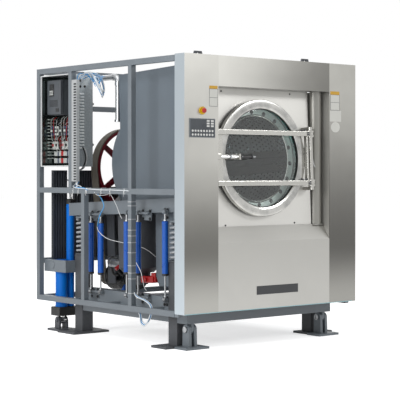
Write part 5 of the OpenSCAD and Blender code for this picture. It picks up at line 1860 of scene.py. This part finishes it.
@dataclass
class Controls:
    """The keypad on the left column and the blank labels.

    Attributes:
        low: lowest left corner of the bezel, X and Z.
        size: its width and height.
        front: Y of the front sheets.
    """

    low: tuple[float, float] = (-973.0, 1802.0)
    size: tuple[float, float] = (282.0, 162.0)
    front: float = -1125.0

    def build(self) -> None:
        """Makes the pieces."""
        self.keypad()
        self.labels()

    def keypad(self) -> None:
        """The bezel with its printed film, the display and the keys."""
        x, z = self.low
        w, h = self.size
        y = self.front
        rim, film, screen = (Shape() for _ in range(3))
        rim.box((x, y - 6, z), (x + w, y - 0.1, z + h), bevel=3, steps=3)
        rim.piece("keypad_frame", Body.MACHINE, Paint.bezel, stands_for=("control_bezel", "bezel_grey"))
        film.box((x + 7, y - 6.8, z + 7), (x + w - 7, y - 5.6, z + h - 7), bevel=0.5, steps=1)
        film.piece("keypad_film", Body.MACHINE, Paint.film_dark)
        screen.box((x + 20, y - 8, z + h - 80), (x + w * 0.53, y - 6, z + h - 14), bevel=1.5)
        screen.box((x + 28, y - 8.4, z + h - 72), (x + w * 0.53 - 8, y - 7.6, z + h - 22), slot=1, bevel=0.3,
                   steps=1)
        screen.piece("keypad_display", Body.MACHINE, Paint.film_dark, Paint.screen,
                     stands_for=("control_display", "display"))
        around = Matrix.Rotation(math.pi / 2, 4, "X")
        disc = Shape().turned([(0, 0), (9.6, 0), (9.6, 1.6), (8.6, 2.2), (7.5, 1.9), (0, 1.9)], ORIGIN, UP, 20)
        discs = Repeat(disc, Layout.ROWS, 8, 2, step=(31.0, 32.0),
                       place=Matrix.Translation((x + 32, y - 6.7, z + 24)) @ around)
        item = discs.piece("round_keys", Body.MACHINE, Paint.key)
        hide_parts("control_keys")
        block = Shape().box((0, 0, 0), (30, 15, 2.2), bevel=0.8)
        blocks = Repeat(block, Layout.ROWS, 2, 3, step=(46.0, 22.0),
                        place=Matrix.Translation((x + w * 0.66, y - 6.7, z + 90)) @ around)
        blocks.piece("flat_keys", Body.MACHINE, Paint.key)

    def labels(self) -> None:
        """Blank labels: yellow bands over white fields, a white ellipse and a dark plate."""
        y = self.front
        white, band, line, plate = (Shape() for _ in range(4))
        for x0, x1, z0, z1, head in ((-753, -661, 2068, 2244, 26), (696, 813, 2079, 2252, 30)):
            white.box((x0, y - 0.9, z0), (x1, y - 0.1, z1 - head), bevel=0.2, steps=1)
            band.box((x0, y - 1.0, z1 - head + 0.2), (x1, y - 0.1, z1), bevel=0.2, steps=1)
            for z in (z0, (z0 + z1 - head) / 2 - 1.5, z1 - head - 3):
                line.box((x0, y - 1.1, z), (x1, y - 0.95, z + 3))
            for x in (x0, x1 - 3):
                line.box((x, y - 1.1, z0), (x + 3, y - 0.95, z1 - head))
        white.box((687, y - 0.9, 1975), (835, y - 0.1, 2076), bevel=0.2, steps=1)
        white.prism([(761 + 58 * math.cos(a), y - 0.1, 1924 + 48 * math.sin(a))
                     for a in (math.tau * k / 40 for k in range(40))], (0, -0.8, 0))
        white.piece("label_fields", Body.MACHINE, Paint.label_white, stands_for=("blank_plates", "label_plate"))
        band.piece("label_bands", Body.MACHINE, Paint.label_yellow)
        line.piece("label_lines", Body.MACHINE, Paint.case)
        plate.box((-212, y - 2, 441), (285, y - 0.1, 517), bevel=1)
        plate.piece("apron_plate", Body.MACHINE, Paint.label_dark)


@dataclass
class Fittings:
    """Screws, clips, the door bay's linings, the film's edge and the dump valve's parts.

    Attributes:
        screws: X and height of the panel's screws.
        pin: place of the right hinge pin's middle.
        pin_reach: distance of the pin's rings from its middle.
        column: X and Y of the axis of the bay's half-round column.
        skin: outer and inner radius of the skin on it.
        bay: lowest and highest point of the bay's linings.
    """

    screws: tuple[tuple[float, float], ...] = ((-496, 2214), (322, 2218), (-490, 1050), (334, 1055))
    pin: Point = (787.0, -905.0, 165.0)
    pin_reach: float = 57.0
    column: tuple[float, float] = (620.0, -1000.0)
    skin: tuple[float, float] = (60.7, 60.1)
    bay: tuple[float, float] = (908.0, 2243.0)

    def build(self) -> None:
        """Makes the pieces."""
        panel, clips, lining, skin, edge = (Shape() for _ in range(5))
        for x, z in self.screws:
            at = PITCHED @ Vector((x, -0.2, z - DRUM_Z))
            panel.turned([(0, 0), (8, 0), (8, 2), (6, 5), (0, 5)], at, (0, -1, 0.0436), 16)
        panel.piece("panel_screws", Body.CRADLE, Paint.motor)
        for side in SIDES:
            for end in SIDES:
                clips.collar(18.2, 25, -2, 2, (side * self.pin[0] + end * self.pin_reach, *self.pin[1:]), RIGHT)
        clips.piece("hinge_pin_rings", Body.FLOOR, Paint.zinc)
        low, high = self.bay
        lining.box((682.2, -1122, low), (682.9, -1004, high))
        lining.box((556, -948, low), (682, -945, high))
        lining.piece("bay_side_lining", Body.MACHINE, Paint.dull)
        x, y = self.column
        angles = [math.pi + k * math.pi / 30 for k in range(31)]
        outline = [(r, a) for r, turn in zip(self.skin, (angles, angles[::-1])) for a in turn]
        skin.prism([(x + r * math.cos(a), y + r * math.sin(a), 1039.5) for r, a in outline], (0, 0, 1204))
        skin.piece("bay_column_skin", Body.MACHINE, Paint.tube)
        edge.box((-1018, -1126, 315.5), (980, -1125.1, 322), bevel=0.3, steps=1)
        edge.piece("film_edge", Body.MACHINE, Paint.film)
        self.valve()

    @staticmethod
    def valve() -> None:
        """The dump valve's red actuator, the drain pipe behind the sump and its red fittings."""
        red, grey, blue = (Shape() for _ in range(3))
        arm = Shape(PITCHED)
        arm.box((-616, 884, -1092), (-504, 1066, -1030), bevel=8, steps=3)
        arm.box((-602, 864, -1088), (-518, 930, -1000), bevel=6, steps=3)
        arm.turned([(0, 0), (20, 0), (20, 18), (12, 22), (0, 22)], (-614, 990, -1060), (-1, 0, 0), 20)
        arm.piece("valve_actuator", Body.CRADLE, Paint.red)
        grey.turned([(0, 0), (52, 0), (52, 16), (42, 20), (42, 190), (52, 194), (52, 216), (0, 216)],
                    (-600, 268, 650), (0, 0.995, 0.09), 36)
        red.turned([(0, 0), (15, 0), (15, 20), (9, 26), (9, 62), (0, 62)], (-606, 300, 690), (-0.2, -0.2, 0.95),
                   14)
        red.turned([(0, 0), (19, 0), (19, 40), (13, 46), (0, 46)], (-636, 318, 632), (-0.8, 0.1, -0.5), 16)
        blue.prism([(-440, 560, 380), (-440, 500, 382), (-440, 505, 440)], (24, 0, 0))
        grey.piece("drain_pipe", Body.CRADLE, Paint.zinc)
        red.piece("drain_fittings", Body.CRADLE, Paint.red)
        blue.piece("valve_flag", Body.CRADLE, Paint.royal)


# ---------------------------------------------------------------- studio


@dataclass
class Studio:
    """The camera at the photograph's place, soft lights, white floor and world.

    Attributes:
        camera_at: the camera's place in metres.
        yaw: its turn to the right of straight ahead, in degrees.
        lens: focal length for a sensor 36 mm wide.
        shift: vertical shift of the frame.
        ambient: strength of the world for diffuse surfaces.
        floor_glow: light that the floor adds for rays that look at it.
        floor_reach: distance from the middle to the floor's edges, in metres.
        lamps: name, place, target, size and watts of each soft box.
    """

    camera_at: Point = (-8.097, -9.829, 1.496)
    yaw: float = 39.76
    lens: float = 121.15
    shift: float = -0.0653
    ambient: float = 0.42
    floor_glow: float = 0.62
    floor_reach: float = 60.0
    lamps: tuple[tuple[str, Point, Point, tuple[float, float], float], ...] = (
        ("Key", (-9.0, -2.0, 4.0), (0.0, -0.3, 1.2), (4.0, 4.0), 480.0),
        ("Fill", (6.5, -9.0, 6.2), (-0.3, -1.1, 2.3), (3.5, 2.0), 300.0),
        ("Top", (-2.0, -1.0, 7.0), (0.0, 0.0, 1.0), (5.0, 5.0), 160.0),
        ("Back", (2.0, 7.0, 5.0), (0.0, 0.5, 1.5), (5.0, 3.0), 120.0))

    def camera(self) -> None:
        """Sets the camera up."""
        data = bpy.data.cameras.new("Camera")
        data.lens = self.lens
        data.sensor_width = 36.0
        data.shift_y = self.shift
        data.clip_end = 200.0
        eye = placed("Camera", data)
        eye.location = self.camera_at
        eye.rotation_euler = (math.pi / 2, 0.0, -math.radians(self.yaw))
        bpy.context.scene.camera = eye

    def build(self) -> None:
        """Adds the world, the floor and the lamps."""
        self.world()
        self.floor()
        for lamp in self.lamps:
            self.lamp(*lamp)

    @staticmethod
    def lamp(name: str, at: Point, target: Point, size: tuple[float, float], watts: float) -> None:
        """Adds a soft box.

        Args:
            name: the lamp's name.
            at: its place in metres.
            target: the point it faces.
            size: its width and height.
            watts: its power.
        """
        data = bpy.data.lights.new(name, "AREA")
        data.shape = "RECTANGLE"
        data.size, data.size_y = size
        data.energy = watts
        box = placed(name, data)
        box.location = at
        box.rotation_euler = (Vector(target) - Vector(at)).to_track_quat("-Z", "Y").to_euler()

    @staticmethod
    def seen(tree: Tree) -> Any:
        """A socket that is one for rays that look at the background: camera, glossy and glass rays.

        Args:
            tree: the material's or world's tree.

        Returns:
            The socket.
        """
        path = add(tree, "ShaderNodeLightPath").outputs
        either = combined(tree, "MAXIMUM", path["Is Camera Ray"], path["Is Glossy Ray"])
        return combined(tree, "MAXIMUM", either, path["Is Transmission Ray"])

    def world(self) -> None:
        """A white world for what is seen in it, and a plain soft light for the rest."""
        world = bpy.data.worlds.new("Hall")
        tree = emptied(world)
        strength = spread(tree, self.seen(tree), 0.0, 1.0, self.ambient, 1.0)
        sky = add(tree, "ShaderNodeBackground", {0: WHITE, 1: strength})
        add(tree, "ShaderNodeOutputWorld", {0: sky.outputs[0]})
        bpy.context.scene.world = world

    def floor(self) -> None:
        """A white floor that keeps the machine's shadow."""
        material = bpy.data.materials.new("White floor")
        tree = emptied(material)
        matt = add(tree, "ShaderNodeBsdfDiffuse", {"Color": linear("F4F4F4")})
        glow = add(tree, "ShaderNodeEmission", {"Color": WHITE, "Strength": self.floor_glow})
        lit = add(tree, "ShaderNodeAddShader", {0: matt.outputs[0], 1: glow.outputs[0]})
        mix = add(tree, "ShaderNodeMixShader", {0: self.seen(tree), 1: matt.outputs[0], 2: lit.outputs[0]})
        add(tree, "ShaderNodeOutputMaterial", {"Surface": mix.outputs[0]})
        mesh = bpy.data.meshes.new("Floor")
        far = self.floor_reach
        mesh.from_pydata([(-far, -far, 0), (far, -far, 0), (far, far, 0), (-far, far, 0)], [], [(0, 1, 2, 3)])
        mesh.materials.append(material)
        placed("Floor", mesh)


# ---------------------------------------------------------------- all of it


def main() -> None:
    """Builds the camera and the cords, then every sub-assembly."""
    logging.basicConfig(level=logging.INFO, format="%(message)s")
    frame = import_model()
    bpy.context.scene.view_settings.view_transform = "Standard"
    studio = Studio()
    studio.camera()
    Cords().build()
    Dressing().apply(frame)
    for part in (Springs(), Dampers(), Lifts(), Door(), Drum(), Drive(), Gear(), LooseWires(), Controls(),
                 Fittings()):
        part.build()
    studio.build()


if __name__ == "__main__":
    main()
